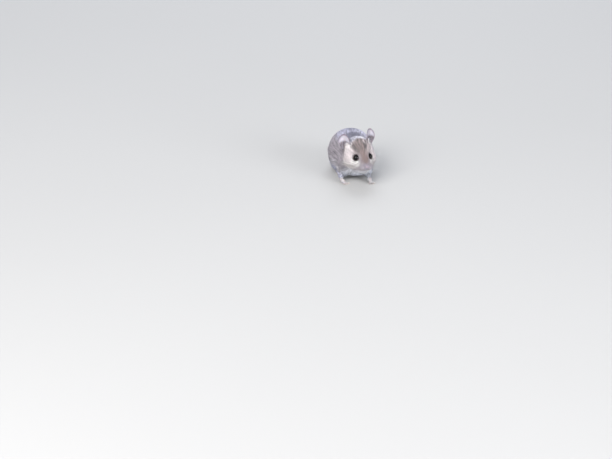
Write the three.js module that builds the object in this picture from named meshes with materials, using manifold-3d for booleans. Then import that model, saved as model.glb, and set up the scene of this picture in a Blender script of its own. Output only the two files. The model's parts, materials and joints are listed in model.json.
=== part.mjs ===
// A young long-tailed field mouse, crouched on all fours: a still, life-size model.
// Millimetres, +Z up. The nose points along -Y, the mouse's left side is +X, and the floor is Z = 0.
// Every outline runs out to the tips of the coat.
import * as THREE from 'three';
import { mergeVertices } from 'three/addons/utils/BufferGeometryUtils.js';
import Module from 'manifold-3d';

const wasm = await Module();
wasm.setup();

// ---- driving dimensions, mm and degrees ----

const gap = 0.16; // between neighbours
const seatGap = 0.28; // between the head and what it sits in
const headCentre = at(2.4, -1.4, 16.7);
const headTurn = 11; // to the mouse's left
const headNod = 2; // nose down
const eyeRadius = 1.95;
const earLength = 9.8;
const earWidth = 8;
const earThickness = 0.6;
const earHollow = 2.6; // how deep the ear is cupped
const palmRadius = 1.15;
const digitRadius = 0.42;
const foredigitLength = 3.5;
const hinddigitLength = 4.6;
const tailRootRadius = 1.7;
const tailTipRadius = 0.5;
const tailLoopRadius = 11.4;
const tailLoopMiddle = at(5.5, 50, 0);
const tailPieces = 5;
const tread = 0.12; // how deep a sole is pressed flat

// ---- small helpers ----

function at(x, y, z) {
  return new THREE.Vector3(x, y, z);
}

const radians = THREE.MathUtils.degToRad;
const clamp = THREE.MathUtils.clamp;
const lerp = THREE.MathUtils.lerp;
const sides = { left: 1, right: -1 };

// The head's own frame: x to its left, y backwards, z up, from the middle of the head.
const headPose = new THREE.Quaternion()
  .setFromAxisAngle(at(0, 0, 1), radians(headTurn))
  .multiply(new THREE.Quaternion().setFromAxisAngle(at(1, 0, 0), radians(headNod)));

function onHead(forward, left, up) {
  return at(left, -forward, up).applyQuaternion(headPose).add(headCentre);
}

// ---- rounded forms as distance fields: negative inside, zero on the outline ----

function ellipsoid(centre, radii, pose = new THREE.Quaternion()) {
  const back = pose.clone().invert();
  return (p) => {
    const q = p.clone().sub(centre).applyQuaternion(back).divide(radii);
    const steep = q.clone().divide(radii).length();
    return steep < 1e-9 ? -Math.min(radii.x, radii.y, radii.z) : (q.length() * (q.length() - 1)) / steep;
  };
}

// A limb from a to b whose thickness changes evenly on the way.
function taper(a, b, radiusA, radiusB) {
  const along = b.clone().sub(a);
  const lengthSquared = along.lengthSq();
  return (p) => {
    const fromA = p.clone().sub(a);
    const share = clamp(fromA.dot(along) / lengthSquared, 0, 1);
    return fromA.addScaledVector(along, -share).length() - lerp(radiusA, radiusB, share);
  };
}

// Joins forms with a fillet about `reach` deep.
function blend(reach, ...forms) {
  return (p) =>
    forms
      .map((form) => form(p))
      .reduce((a, b) => {
        const h = clamp(0.5 + (0.5 * (b - a)) / reach, 0, 1);
        return lerp(b, a, h) - reach * h * (1 - h);
      });
}

// How far the outline lies from an inner point, along a direction.
function cast(form, from, direction, level) {
  const reading = (distance) => form(from.clone().addScaledVector(direction, distance)) - level;
  const stride = 0.5;
  const limit = 60;
  let far = 0;
  while (reading(far) < 0 && far < limit) far += stride;
  let near = Math.max(0, far - stride);
  for (let i = 0; i < 14; i++) {
    const middle = (near + far) / 2;
    if (reading(middle) < 0) near = middle;
    else far = middle;
  }
  return far;
}

// ---- closed meshes: a sphere's grid laid along a line ----

// `station(ring)` gives a ring's centre, forward direction and radius; the first and last rings close to a point.
function ringed(count, rings, station) {
  const grid = new THREE.SphereGeometry(1, count, rings);
  const position = grid.getAttribute('position');
  const vertex = at(0, 0, 0);
  for (let i = 0; i < position.count; i++) {
    vertex.fromBufferAttribute(position, i);
    const ring = Math.round((Math.acos(clamp(vertex.y, -1, 1)) / Math.PI) * rings);
    const { centre, forward, radius } = station(ring);
    const back = forward.clone().negate();
    const upright = Math.abs(back.z) > 0.9 ? at(0, 1, 0) : at(0, 0, 1);
    const side = back.clone().cross(upright).normalize();
    const over = side.clone().cross(back);
    const turn = Math.atan2(vertex.z, vertex.x);
    const outward = side.multiplyScalar(Math.cos(turn)).addScaledVector(over, Math.sin(turn));
    const reach = ring === 0 || ring === rings ? 0 : radius(outward);
    vertex.copy(centre).addScaledVector(outward, reach);
    position.setXYZ(i, vertex.x, vertex.y, vertex.z);
  }
  return grid;
}

// A form's outline as rings across an axis, from its far back to its far front.
function wrap(form, axis, count, rings, level = 0) {
  const length = axis.getLength();
  const before = cast(form, axis.getPointAt(0), axis.getTangentAt(0).negate(), level);
  const after = cast(form, axis.getPointAt(1), axis.getTangentAt(1), level);
  return ringed(count, rings, (ring) => {
    const eased = (1 - Math.cos((ring / rings) * Math.PI)) / 2;
    const run = lerp(-before, length + after, eased);
    const share = clamp(run / length, 0, 1);
    const forward = axis.getTangentAt(share);
    const centre = axis.getPointAt(share).addScaledVector(forward, run - share * length);
    return { centre, forward, radius: (outward) => cast(form, centre, outward, level) };
  });
}

// A round tube along a curve, its radius told for each share of the way, with rounded ends.
function tube(curve, radiusAt, count, rings) {
  const length = curve.getLength();
  return ringed(count, rings, (ring) => {
    const eased = (1 - Math.cos((ring / rings) * Math.PI)) / 2;
    const share = lerp(ring / rings, eased, 0.5);
    const toEnd = Math.min(share, 1 - share) * length;
    const radius = radiusAt(share);
    const rounding = clamp(toEnd / radius, 0, 1);
    return {
      centre: curve.getPointAt(share),
      forward: curve.getTangentAt(share),
      radius: () => radius * Math.sqrt(rounding * (2 - rounding)),
    };
  });
}

function line(...points) {
  return points.length === 2 ? new THREE.LineCurve3(...points) : new THREE.CatmullRomCurve3(points);
}

// A radius that passes smoothly through values at even steps.
function stepped(...radii) {
  return (share) => {
    const step = Math.min(Math.floor(share * (radii.length - 1)), radii.length - 2);
    const within = share * (radii.length - 1) - step;
    return lerp(radii[step], radii[step + 1], THREE.MathUtils.smoothstep(within, 0, 1));
  };
}

function ball(centre, radii, count, rings, pose = new THREE.Quaternion()) {
  return new THREE.SphereGeometry(1, count, rings)
    .scale(radii.x, radii.y, radii.z)
    .applyQuaternion(pose)
    .translate(centre.x, centre.y, centre.z);
}

// ---- solids ----

function solid(geometry) {
  const bare = geometry.clone();
  bare.deleteAttribute('normal');
  bare.deleteAttribute('uv');
  const merged = mergeVertices(bare, 1e-4);
  return new wasm.Manifold(
    new wasm.Mesh({
      numProp: 3,
      vertProperties: merged.getAttribute('position').array,
      triVerts: new Uint32Array(merged.index.array),
    }),
  );
}

const reach = 200; // larger than the mouse

// All space on the side of a plane that `towards` points to.
function halfSpace(point, towards) {
  const pose = new THREE.Quaternion().setFromUnitVectors(at(0, 0, 1), towards.clone().normalize());
  const block = new THREE.BoxGeometry(reach, reach, reach).translate(0, 0, reach / 2);
  return solid(block.applyQuaternion(pose).translate(point.x, point.y, point.z));
}

const aboveFloor = halfSpace(at(0, 0, 0), at(0, 0, 1));

function mesh(name, body, material) {
  const { vertProperties, triVerts } = body.getMesh();
  const geometry = new THREE.BufferGeometry()
    .setAttribute('position', new THREE.BufferAttribute(vertProperties, 3))
    .setIndex(new THREE.BufferAttribute(triVerts, 1));
  geometry.computeBoundingBox();
  const middle = geometry.boundingBox.getCenter(at(0, 0, 0));
  geometry.translate(-middle.x, -middle.y, -middle.z);
  geometry.computeVertexNormals();
  const made = new THREE.Mesh(geometry, material.clone());
  made.name = name;
  made.position.copy(middle);
  return made;
}

// ---- materials ----

const greyCoat = new THREE.MeshStandardMaterial({ color: 0x8d8684, roughness: 0.9, metalness: 0 });
const faceCoat = new THREE.MeshStandardMaterial({ color: 0xa5978f, roughness: 0.9, metalness: 0 });
const paleCoat = new THREE.MeshStandardMaterial({ color: 0xb4abaa, roughness: 0.9, metalness: 0 });
const earSkin = new THREE.MeshStandardMaterial({ color: 0xa89a98, roughness: 0.7, metalness: 0 });
const pinkSkin = new THREE.MeshStandardMaterial({ color: 0xcbb5b0, roughness: 0.6, metalness: 0 });
const tailSkin = new THREE.MeshStandardMaterial({ color: 0x8f8280, roughness: 0.7, metalness: 0 });
const noseSkin = new THREE.MeshStandardMaterial({ color: 0xa88d8c, roughness: 0.4, metalness: 0 });
const eyeBlack = new THREE.MeshStandardMaterial({ color: 0x0a0808, roughness: 0.05, metalness: 0 });

// ---- head: cranium, cheeks, snout, whisker pads and chin in one ----

const onBothSides = (make) => Object.values(sides).map(make);

const cranium = ellipsoid(onHead(-3, 0, 1.3), at(8.2, 8.7, 8.2), headPose);
const cheeks = onBothSides((side) => ellipsoid(onHead(-0.4, side * 4.9, -2.4), at(4.6, 5.7, 5), headPose));
const snout = taper(onHead(3, 0, -0.9), onHead(10.1, 0, -2.8), 6, 2.4);
const whiskerPads = onBothSides((side) => ellipsoid(onHead(8.6, side * 2, -3.4), at(2.3, 3, 2.1), headPose));
const jowls = ellipsoid(onHead(4.2, 0, -4.1), at(6.6, 5.6, 4.1), headPose);
const chin = taper(onHead(2, 0, -4.8), onHead(7.9, 0, -6.1), 4, 2.1);
const skull = blend(1.8, cranium, ...cheeks, snout, ...whiskerPads, jowls, chin);

const headAxis = line(onHead(-5, 0, 0.5), onHead(2, 0, -0.8), onHead(9, 0, -2.4));
const headGrid = [28, 20];
const neckSeat = solid(wrap(skull, headAxis, 24, 15, seatGap));
const earSeat = solid(wrap(skull, headAxis, ...headGrid, gap));

const eyeCentres = {};
for (const [name, side] of Object.entries(sides)) eyeCentres[name] = onHead(4.6, side * 3.6, 0.5);

let headBody = solid(wrap(skull, headAxis, ...headGrid));
const socketRadii = at(1, 1, 1).multiplyScalar(eyeRadius + gap);
for (const centre of Object.values(eyeCentres)) {
  headBody = headBody.subtract(solid(ball(centre, socketRadii, 12, 8)));
}

// The nose pad is let into the tip of the snout.
const nosePoint = onHead(12, 0, -2.6);
const noseRadii = at(1.05, 0.85, 0.8);
headBody = headBody.subtract(solid(ball(nosePoint, noseRadii.clone().addScalar(gap), 10, 6, headPose)));

// ---- ears: flattened balls drawn out to an ear's outline and cupped ----

function earShell() {
  const grid = new THREE.SphereGeometry(1, 20, 7).rotateX(radians(90));
  const position = grid.getAttribute('position');
  for (let i = 0; i < position.count; i++) {
    const x = position.getX(i);
    const y = position.getY(i);
    const z = position.getZ(i);
    const height = (y + 1) / 2; // 0 at the root, 1 at the tip
    const across = x * (1 - 0.3 * (1 - height) ** 2);
    const plump = Math.sign(z) * Math.sqrt(Math.abs(z)); // full thickness nearly to the rim
    const cupped = earHollow * (across ** 2 * (1.1 - 0.5 * height) + 0.35 * height ** 2);
    position.setXYZ(i, (across * earWidth) / 2, height * earLength, cupped + (plump * earThickness) / 2);
  }
  return grid;
}

// An ear's pose from the way it grows and the way it opens.
function earPose(growing, opening) {
  const up = growing.clone().normalize();
  const open = opening.clone().addScaledVector(up, -opening.dot(up)).normalize();
  const across = up.clone().cross(open);
  return new THREE.Matrix4().makeBasis(across, up, open);
}

const earStance = {
  left: { growing: at(0.1, 0.3, 0.95), opening: at(0.6, -0.8, 0.1), rootOut: 5.4, rootHeight: 3.9 },
  right: { growing: at(-0.14, 0.3, 0.92), opening: at(-0.72, -0.7, 0.1), rootOut: 6.2, rootHeight: 2.2 },
};

function ear(name) {
  const { rootOut, rootHeight } = earStance[name];
  const root = onHead(-2.6, sides[name] * rootOut, rootHeight);
  const growing = earStance[name].growing.clone().applyQuaternion(headPose);
  const opening = earStance[name].opening.clone().applyQuaternion(headPose);
  const placed = earShell().applyMatrix4(earPose(growing, opening)).translate(root.x, root.y, root.z);
  return solid(placed).subtract(earSeat);
}

// ---- trunk and neck, with the haunches rising out of the trunk ----

const barrel = ellipsoid(at(0, 17, 13.2), at(12.1, 12.5, 12));
const rump = ellipsoid(at(0, 24.5, 11.2), at(11.5, 12.4, 10.8));
const breast = ellipsoid(at(0.8, 5, 10.5), at(9.2, 8, 8.4));
const nape = ellipsoid(at(2.2, 6.2, 17.2), at(8.6, 7.8, 7.2));
const haunches = onBothSides((side) => ellipsoid(at(side * 7.6, 19, 7.9), at(4.8, 9.8, 7.7)));
const elbows = onBothSides((side) => ellipsoid(at(side * 7.4 + 0.3, 4.4, 6.2), at(2.9, 4.4, 4.4)));
const torso = blend(3, barrel, rump, breast, nape, ...haunches, ...elbows);
const torsoAxis = line(at(0, 28, 10.5), at(0, 16, 12.4), at(0.8, 3.4, 12.4));

let torsoBody = solid(wrap(torso, torsoAxis, 26, 18)).subtract(neckSeat).intersect(aboveFloor);

// ---- limbs ----

// Fingers or toes fan out from the middle of a foot; `fan` lists each one's angle and share of the full length.
function digits(root, heading, length, fan) {
  return fan.map(({ angle, share }) => {
    const away = heading.clone().applyAxisAngle(at(0, 0, 1), radians(angle));
    const knuckle = root.clone().addScaledVector(away, length * share * 0.5).setZ(digitRadius * 1.3);
    const tip = root.clone().addScaledVector(away, length * share).setZ(digitRadius * 0.8 - tread);
    const radius = (along) => lerp(digitRadius * 1.15, digitRadius * 0.8, along);
    return solid(tube(line(root, knuckle, tip), radius, 6, 4));
  });
}

function together(bodies) {
  return bodies.reduce((a, b) => a.add(b));
}

const foreStance = {
  left: { elbow: at(7.6, 3.2, 5.4), wrist: at(8, -0.2, 2.2), palm: at(8.5, -2, 0.8), heading: at(0.16, -1, 0).normalize() },
  right: { elbow: at(-7.8, 4, 4.8), wrist: at(-8, 1, 2.3), palm: at(-6.6, -1.2, 0.8), heading: at(0.62, -0.9, 0).normalize() },
};
const hindStance = {
  left: { heel: at(6.6, 28, 1.6), ball: at(6.7, 14.6, 1), heading: at(0.1, -1, 0).normalize() },
  right: { heel: at(-6.6, 28, 1.6), ball: at(-6.7, 14.6, 1), heading: at(-0.1, -1, 0).normalize() },
};
const foreFan = [-38, -13, 13, 38].map((angle, i) => ({ angle, share: [0.85, 1, 1, 0.85][i] }));
const hindFan = [-34, -15, 0, 15, 34].map((angle, i) => ({ angle, share: [0.75, 0.96, 1, 0.96, 0.7][i] }));

// From inside the elbow to the end of the palm.
function forearm(name, grow = 0) {
  const { elbow, wrist, palm, heading } = foreStance[name];
  const radius = stepped(2 + grow, 1.5 + grow, 1.05 + grow, palmRadius + grow, palmRadius * 0.9 + grow);
  const end = palm.clone().addScaledVector(heading, 0.9);
  return solid(tube(line(elbow, wrist, palm, end), radius, 9, 10)).intersect(aboveFloor);
}

// From the heel to the ball of the foot.
function hindsole(name, grow = 0) {
  const { heel, ball, heading } = hindStance[name];
  const radius = stepped(1.3 + grow, 1.45 + grow, 1.3 + grow, 1.35 + grow);
  const end = ball.clone().addScaledVector(heading, 0.8);
  return solid(tube(line(heel, ball, end), radius, 8, 8)).intersect(aboveFloor);
}

// The part of the torso inside a rounded zone becomes a limb's upper end, and leaves the torso.
function partOff(zone, radii, segments) {
  const limb = torsoBody.intersect(solid(ball(zone, radii, ...segments)));
  torsoBody = torsoBody.subtract(solid(ball(zone, radii.clone().addScalar(gap), ...segments)));
  return limb;
}

const forelegs = {};
const forefeet = {};
const hindlegs = {};
const hindfeet = {};
for (const [name, side] of Object.entries(sides)) {
  const thigh = partOff(at(side * 9.4, 19.6, 7), at(5.4, 8.8, 7.6), [16, 9]);
  hindlegs[name] = thigh.subtract(hindsole(name, gap));
  const { ball: footBall, heading: footHeading } = hindStance[name];
  const toes = digits(footBall, footHeading, hinddigitLength, hindFan);
  hindfeet[name] = together([hindsole(name), ...toes]).intersect(aboveFloor);

  const upperArm = partOff(at(side * 7.6 + 0.3, 4.4, 6.6), at(3.7, 4.9, 5.4), [12, 8]);
  torsoBody = torsoBody.subtract(forearm(name, gap)).subtract(hindsole(name, gap));
  const { wrist, palm, heading } = foreStance[name];
  const toHand = palm.clone().sub(wrist).normalize();
  const fingers = digits(palm, heading, foredigitLength, foreFan);
  const hand = forearm(name).intersect(halfSpace(wrist, toHand));
  forefeet[name] = together([hand, ...fingers]).intersect(aboveFloor);
  const cuff = wrist.clone().addScaledVector(toHand, -gap);
  const handRoom = forearm(name, gap).intersect(halfSpace(cuff, toHand));
  forelegs[name] = upperArm.add(forearm(name)).subtract(handRoom).subtract(neckSeat);
}

const collar = at(0, -1, 1).normalize(); // square to the cut from nape to breast
const collarPoint = at(0.4, 9.4, 21);
const neckBody = torsoBody.intersect(halfSpace(collarPoint.clone().addScaledVector(collar, gap), collar));
const trunkBody = torsoBody.intersect(halfSpace(collarPoint, collar.clone().negate()));

// ---- tail: down from the rump, then a loop on the floor, in a few lengths ----

const tailRadius = (share) => lerp(tailRootRadius, tailTipRadius, share ** 0.8);
const tailPoints = [at(0, 33, 7.4), at(-1, 37.4, 3.6), at(-3.2, 42, tailRootRadius)];
const loopSteps = 9;
for (let i = 0; i <= loopSteps; i++) {
  const along = i / loopSteps;
  const turn = radians(lerp(172, -102, along));
  const loop = lerp(tailLoopRadius, tailLoopRadius * 0.7, along);
  const height = tailRadius(lerp(0.2, 1, along)) - tread;
  tailPoints.push(at(loop * Math.cos(turn), loop * Math.sin(turn), height).add(tailLoopMiddle));
}
const tailCurve = line(...tailPoints);

// One length of the tail, cut square at both ends; the last one ends in a round tip.
function tailLength(index) {
  const start = index / tailPieces + gap / 2 / tailCurve.getLength();
  const end = (index + 1) / tailPieces - gap / 2 / tailCurve.getLength();
  const isTip = index === tailPieces - 1;
  const rings = 12;
  const lastOpen = isTip ? rings : rings - 1;
  const body = ringed(7, rings, (ring) => {
    const along = clamp((ring - 1) / (lastOpen - 1), 0, 1);
    const share = lerp(start, isTip ? 1 : end, along);
    const rounding = isTip ? Math.sqrt(Math.min(1, (1 - along) * 6)) : 1;
    return {
      centre: tailCurve.getPointAt(share),
      forward: tailCurve.getTangentAt(share),
      radius: () => tailRadius(share) * rounding,
    };
  });
  return solid(body).intersect(aboveFloor);
}

// ---- assembly ----

const eyeRadii = at(eyeRadius, eyeRadius, eyeRadius);
const body = new THREE.Group();
body.add(mesh('trunk', trunkBody, greyCoat));
body.add(mesh('neck', neckBody, greyCoat));
body.add(mesh('head', headBody, faceCoat));
body.add(mesh('nose', solid(ball(nosePoint, noseRadii, 10, 6, headPose)), noseSkin));
for (const name of Object.keys(sides)) {
  body.add(mesh(`ear_${name}`, ear(name), earSkin));
  body.add(mesh(`eye_${name}`, solid(ball(eyeCentres[name], eyeRadii, 14, 9)), eyeBlack));
  body.add(mesh(`foreleg_${name}`, forelegs[name], paleCoat));
  body.add(mesh(`forefoot_${name}`, forefeet[name], pinkSkin));
  body.add(mesh(`hindleg_${name}`, hindlegs[name], greyCoat));
  body.add(mesh(`hindfoot_${name}`, hindfeet[name], pinkSkin));
}
for (let i = 0; i < tailPieces; i++) {
  const length = i === 0 ? tailLength(i).subtract(solid(wrap(torso, torsoAxis, 20, 14, gap))) : tailLength(i);
  body.add(mesh(`tail_${i + 1}`, length, tailSkin));
}

// The origin is on the floor, under the middle of the whole mouse.
const extent = new THREE.Box3().setFromObject(body);
const middle = extent.getCenter(at(0, 0, 0));
body.position.set(-middle.x, -middle.y, 0);

const mouse = new THREE.Group();
mouse.add(body);
export default mouse;
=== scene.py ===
import json
import math

import bmesh
import bpy
import numpy as np
from mathutils import Euler, Matrix, Vector
from mathutils.bvhtree import BVHTree
from mathutils.kdtree import KDTree

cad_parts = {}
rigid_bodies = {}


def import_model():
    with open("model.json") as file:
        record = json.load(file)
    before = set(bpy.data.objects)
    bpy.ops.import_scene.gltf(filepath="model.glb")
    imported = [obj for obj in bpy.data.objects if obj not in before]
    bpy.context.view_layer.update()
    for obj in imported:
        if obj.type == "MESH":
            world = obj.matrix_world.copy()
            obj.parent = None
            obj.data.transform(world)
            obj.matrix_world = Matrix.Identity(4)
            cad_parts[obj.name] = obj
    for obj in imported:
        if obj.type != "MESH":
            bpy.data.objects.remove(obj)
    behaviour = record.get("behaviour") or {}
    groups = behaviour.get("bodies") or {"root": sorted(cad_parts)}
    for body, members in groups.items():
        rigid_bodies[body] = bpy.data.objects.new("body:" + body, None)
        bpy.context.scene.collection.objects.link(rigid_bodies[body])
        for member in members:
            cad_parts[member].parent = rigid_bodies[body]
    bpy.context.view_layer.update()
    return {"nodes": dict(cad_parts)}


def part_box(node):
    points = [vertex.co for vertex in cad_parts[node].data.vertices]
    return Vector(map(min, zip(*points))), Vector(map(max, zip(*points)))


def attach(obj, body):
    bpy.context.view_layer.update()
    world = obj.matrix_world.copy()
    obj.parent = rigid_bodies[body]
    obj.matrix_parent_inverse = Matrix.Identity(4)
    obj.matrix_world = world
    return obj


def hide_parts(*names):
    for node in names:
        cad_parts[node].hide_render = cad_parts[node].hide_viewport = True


for startObject in list(bpy.data.objects):  # the default cube, lamp and camera
    bpy.data.objects.remove(startObject)

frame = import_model()

mm = 0.001
dice = np.random.default_rng(20)

# ---- places on the mouse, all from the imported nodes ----

sideSign = {"left": 1, "right": -1}


def middleOf(node):
    low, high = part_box(node)
    return (low + high) / 2


eyePlace = {side: middleOf(f"eye_{side}") for side in sideSign}
eyeRadius = (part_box("eye_left")[1].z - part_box("eye_left")[0].z) / 2 * 1.02  # a trifle past its solid
eyesMiddle = (eyePlace["left"] + eyePlace["right"]) / 2
nosePlace = middleOf("nose")
bodyMiddle = middleOf("trunk")

# The head's own axes. The nose lies 7.4 mm in front of the eyes and 3.1 mm lower,
# and the head's middle 4.6 mm behind the eyes and 0.5 mm lower.
headLeft = (eyePlace["left"] - eyePlace["right"]).normalized()
toNose = nosePlace - eyesMiddle
toNose = (toNose - headLeft * toNose.dot(headLeft)).normalized()
acrossNose = toNose.cross(headLeft)
noseDrop = math.atan2(3.1, 7.4)
headForward = toNose * math.cos(noseDrop) + acrossNose * math.sin(noseDrop)
headUp = acrossNose * math.cos(noseDrop) - toNose * math.sin(noseDrop)
headMiddle = eyesMiddle - headForward * 4.6 * mm - headUp * 0.5 * mm
headAxes = Matrix((headForward, headLeft, headUp)).transposed()  # from head to world
headTurn = headAxes.to_euler()


def onHead(forward, left, up):  # a place given in mm from the head's middle
    return headMiddle + headAxes @ Vector((forward, left, up)) * mm


def headPlaces(points):  # forward, left and up of the head's middle, in mm
    return (points - np.array(headMiddle)) @ np.array(headAxes) / mm


def onSide(points, side):
    return (points[:, 0] > headMiddle.x) == (side == "left")


# ---- mesh helpers ----


def linkUp(name, data):
    made = bpy.data.objects.new(name, data)
    bpy.context.scene.collection.objects.link(made)
    return made


def fromBmesh(name, bm, smooth=True):
    mesh = bpy.data.meshes.new(name)
    bm.to_mesh(mesh)
    bm.free()
    mesh.polygons.foreach_set("use_smooth", [smooth] * len(mesh.polygons))
    return linkUp(name, mesh)


def joinInto(bm, other):  # the other one's faces go into bm, and it is freed
    spare = bpy.data.meshes.new("spare")
    other.to_mesh(spare)
    other.free()
    bm.from_mesh(spare)
    bpy.data.meshes.remove(spare)


def finished(piece):  # the mesh with its modifiers applied
    made = bpy.data.meshes.new_from_object(piece.evaluated_get(bpy.context.evaluated_depsgraph_get()))
    bpy.data.objects.remove(piece)
    return made


def readRows(parts, key, wide, kind=float):  # a value of every point, edge, face or corner
    flat = np.empty(len(parts) * wide, dtype=kind)
    parts.foreach_get(key, flat)
    return flat.reshape(-1, wide)


def pointsOf(mesh):
    return readRows(mesh.vertices, "co", 3)


def normalsOf(mesh):
    return readRows(mesh.vertex_normals, "vector", 3)


def putPoints(mesh, points):
    mesh.vertices.foreach_set("co", points.ravel())
    mesh.update()


def giveValues(mesh, name, values):
    made = mesh.attributes.new(name, "FLOAT", "POINT")
    made.data.foreach_set("value", np.ascontiguousarray(values, dtype=np.float32))


def treeOf(points):
    tree = KDTree(len(points))
    for i, p in enumerate(points):
        tree.insert(p, i)
    tree.balance()
    return tree


def rowDot(a, b):
    return (a * b).sum(axis=1)


def unitRows(a):
    return a / np.maximum(np.linalg.norm(a, axis=1, keepdims=True), 1e-12)


def rising(values, low, high):  # 0 below low, 1 above high, smooth between
    t = np.clip((values - low) / (high - low), 0, 1)
    return t * t * (3 - 2 * t)


def blendOf(share, a, b):
    return a + (b - a) * share


class Web:  # which points of a mesh are joined, for easing values over it
    def __init__(self, mesh):
        pairs = readRows(mesh.edges, "vertices", 2, np.int32)
        self.near, self.far = pairs.T
        self.count = len(mesh.vertices)
        self.joined = np.maximum(np.bincount(pairs.ravel(), minlength=self.count), 1)

    def eased(self, values, rounds, share=0.5, hold=None):  # hold: how many of the rounds reach each point
        values = values.astype(float)
        flat = values.reshape(self.count, -1)
        for turn in range(rounds):
            mean = np.stack([
                np.bincount(self.near, column[self.far], self.count)
                + np.bincount(self.far, column[self.near], self.count) for column in flat.T
            ], axis=1) / self.joined[:, None]
            pull = share if hold is None else share * (hold > turn)[:, None]
            flat = flat + (mean - flat) * pull
        return flat.reshape(values.shape)


# ---- shader helpers ----


def isSocket(value):
    return isinstance(value, bpy.types.NodeSocket)


def put(tree, kind, inputs=None, **settings):  # a node with its settings, and its inputs linked or set
    node = tree.nodes.new("ShaderNode" + kind)
    for name, value in settings.items():
        setattr(node, name, value)
    for key, value in (inputs or {}).items():
        if isSocket(value):
            tree.links.new(value, node.inputs[key])
        else:
            node.inputs[key].default_value = value
    return node


def mixTint(tree, share, a, b):
    a, b = (c if isSocket(c) else (*c, 1) for c in (a, b))
    return put(tree, "Mix", {0: share, 6: a, 7: b}, data_type="RGBA").outputs[2]


def sums(tree, operation, a, b=0.0, clamp=False):
    return put(tree, "Math", {0: a, 1: b}, operation=operation, use_clamp=clamp).outputs[0]


def times(tree, a, b):
    return sums(tree, "MULTIPLY", a, b)


def vectors(tree, operation, a, b=None, scale=None):
    given = {key: value for key, value in ((0, a), (1, b), ("Scale", scale)) if value is not None}
    node = put(tree, "VectorMath", given, operation=operation)
    return node.outputs["Value" if operation in ("LENGTH", "DISTANCE") else "Vector"]


def ranged(tree, value, low, high, toLow=0.0, toHigh=1.0, smooth=True):
    given = {"Value": value, "From Min": low, "From Max": high, "To Min": toLow, "To Max": toHigh}
    node = put(tree, "MapRange", given, interpolation_type="SMOOTHSTEP" if smooth else "LINEAR")
    return node.outputs["Result"]


def noiseOf(tree, place, scale, detail=3.0, rough=0.5):
    node = put(tree, "TexNoise", {"Vector": place, "Scale": scale, "Detail": detail, "Roughness": rough})
    return node.outputs["Fac"]


def attributeOf(tree, name):
    return put(tree, "Attribute", attribute_name=name).outputs["Fac"]


def framed(tree, place, middle, turn, size):  # the place as seen from a middle, turned and scaled
    return put(tree, "Mapping", {"Vector": place, "Location": middle, "Rotation": turn, "Scale": size},
               vector_type="TEXTURE").outputs[0]


def spotMask(tree, place, middle, turn, halfSizes, soft):  # 1 inside a ball or egg, 0 outside
    reach = vectors(tree, "LENGTH", framed(tree, place, middle, turn, halfSizes))
    return ranged(tree, reach, 1 - soft / 2, 1 + soft / 2, 1.0, 0.0)


def startGroup(name, inputs, outputs):
    tree = bpy.data.node_groups.new(name, "ShaderNodeTree")
    for socketName, kind, value in inputs:
        socket = tree.interface.new_socket(name=socketName, in_out="INPUT", socket_type="NodeSocket" + kind)
        if value is not None:
            socket.default_value = value
    for socketName, kind in outputs:
        tree.interface.new_socket(name=socketName, in_out="OUTPUT", socket_type="NodeSocket" + kind)
    return tree, tree.nodes.new("NodeGroupInput")


def endGroup(tree, **outputs):
    out = tree.nodes.new("NodeGroupOutput")
    for name, socket in outputs.items():
        tree.links.new(socket, out.inputs[name])
    return tree


def useGroup(tree, group, output, **inputs):
    return put(tree, "Group", inputs, node_tree=group).outputs[output]


def startMaterial(name, constants):
    material = bpy.data.materials.new(name)
    material.use_nodes = True
    tree = material.node_tree
    shader = tree.nodes["Principled BSDF"]
    for key, value in constants.items():
        shader.inputs[key].default_value = value
    return material, tree, shader, put(tree, "TexCoord").outputs["Object"]


def bumped(tree, shader, height, strength, distance, invert=False):
    bump = put(tree, "Bump", {"Height": height, "Strength": strength, "Distance": distance}, invert=invert)
    tree.links.new(bump.outputs["Normal"], shader.inputs["Normal"])


def tinted(red, green, blue):  # a display colour, 0 to 255, as the shader's own
    return tuple((c / 255) ** 2.2 for c in (red, green, blue))


# ---- stage, lights and camera ----

stageSet = dict(
    floorSize=4.0, floorTint=(0.43, 0.427, 0.42), floorShades=(0.97, 1.03), floorCloud=3.0, floorRough=0.9,
    skyTint=(0.88, 0.91, 1.0), skyPower=0.58,
    lampTarget=(0, 10, -5),  # from the head's middle, in mm
    keyPlace=(-0.50, -0.72, 0.62), keySize=0.75, keyPower=15.0, keyTint=(1.0, 0.985, 0.965),
    fillPlace=(0.72, -0.80, 0.26), fillSize=0.6, fillPower=11.0, fillTint=(0.96, 0.975, 1.0),
    backPlace=(0.10, 0.70, 0.75), backSize=0.6, backPower=5.5, backTint=(0.90, 0.94, 1.0),
)
cameraSet = dict(
    turn=-8, rise=22, reach=1.25,  # the line of sight at the mouse, in degrees and metres
    standing=(-1.68, 1.93, -16.74),  # from between the eyes to the floor between the forefeet, in mm
    aside=-29.35, above=-25.9,  # where the lens points, seen from there, in mm
    fieldOfView=15.62, sensor=36, nearest=0.05, farthest=50,
)


def softbox(name, place, size, power, tint, target):
    lamp = bpy.data.lights.new(name, "AREA")
    lamp.shape, lamp.size, lamp.energy, lamp.color = "SQUARE", size, power, tint
    box = linkUp(name, lamp)
    box.location = place
    box.rotation_euler = (target - Vector(place)).to_track_quat("-Z", "Y").to_euler()


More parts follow.
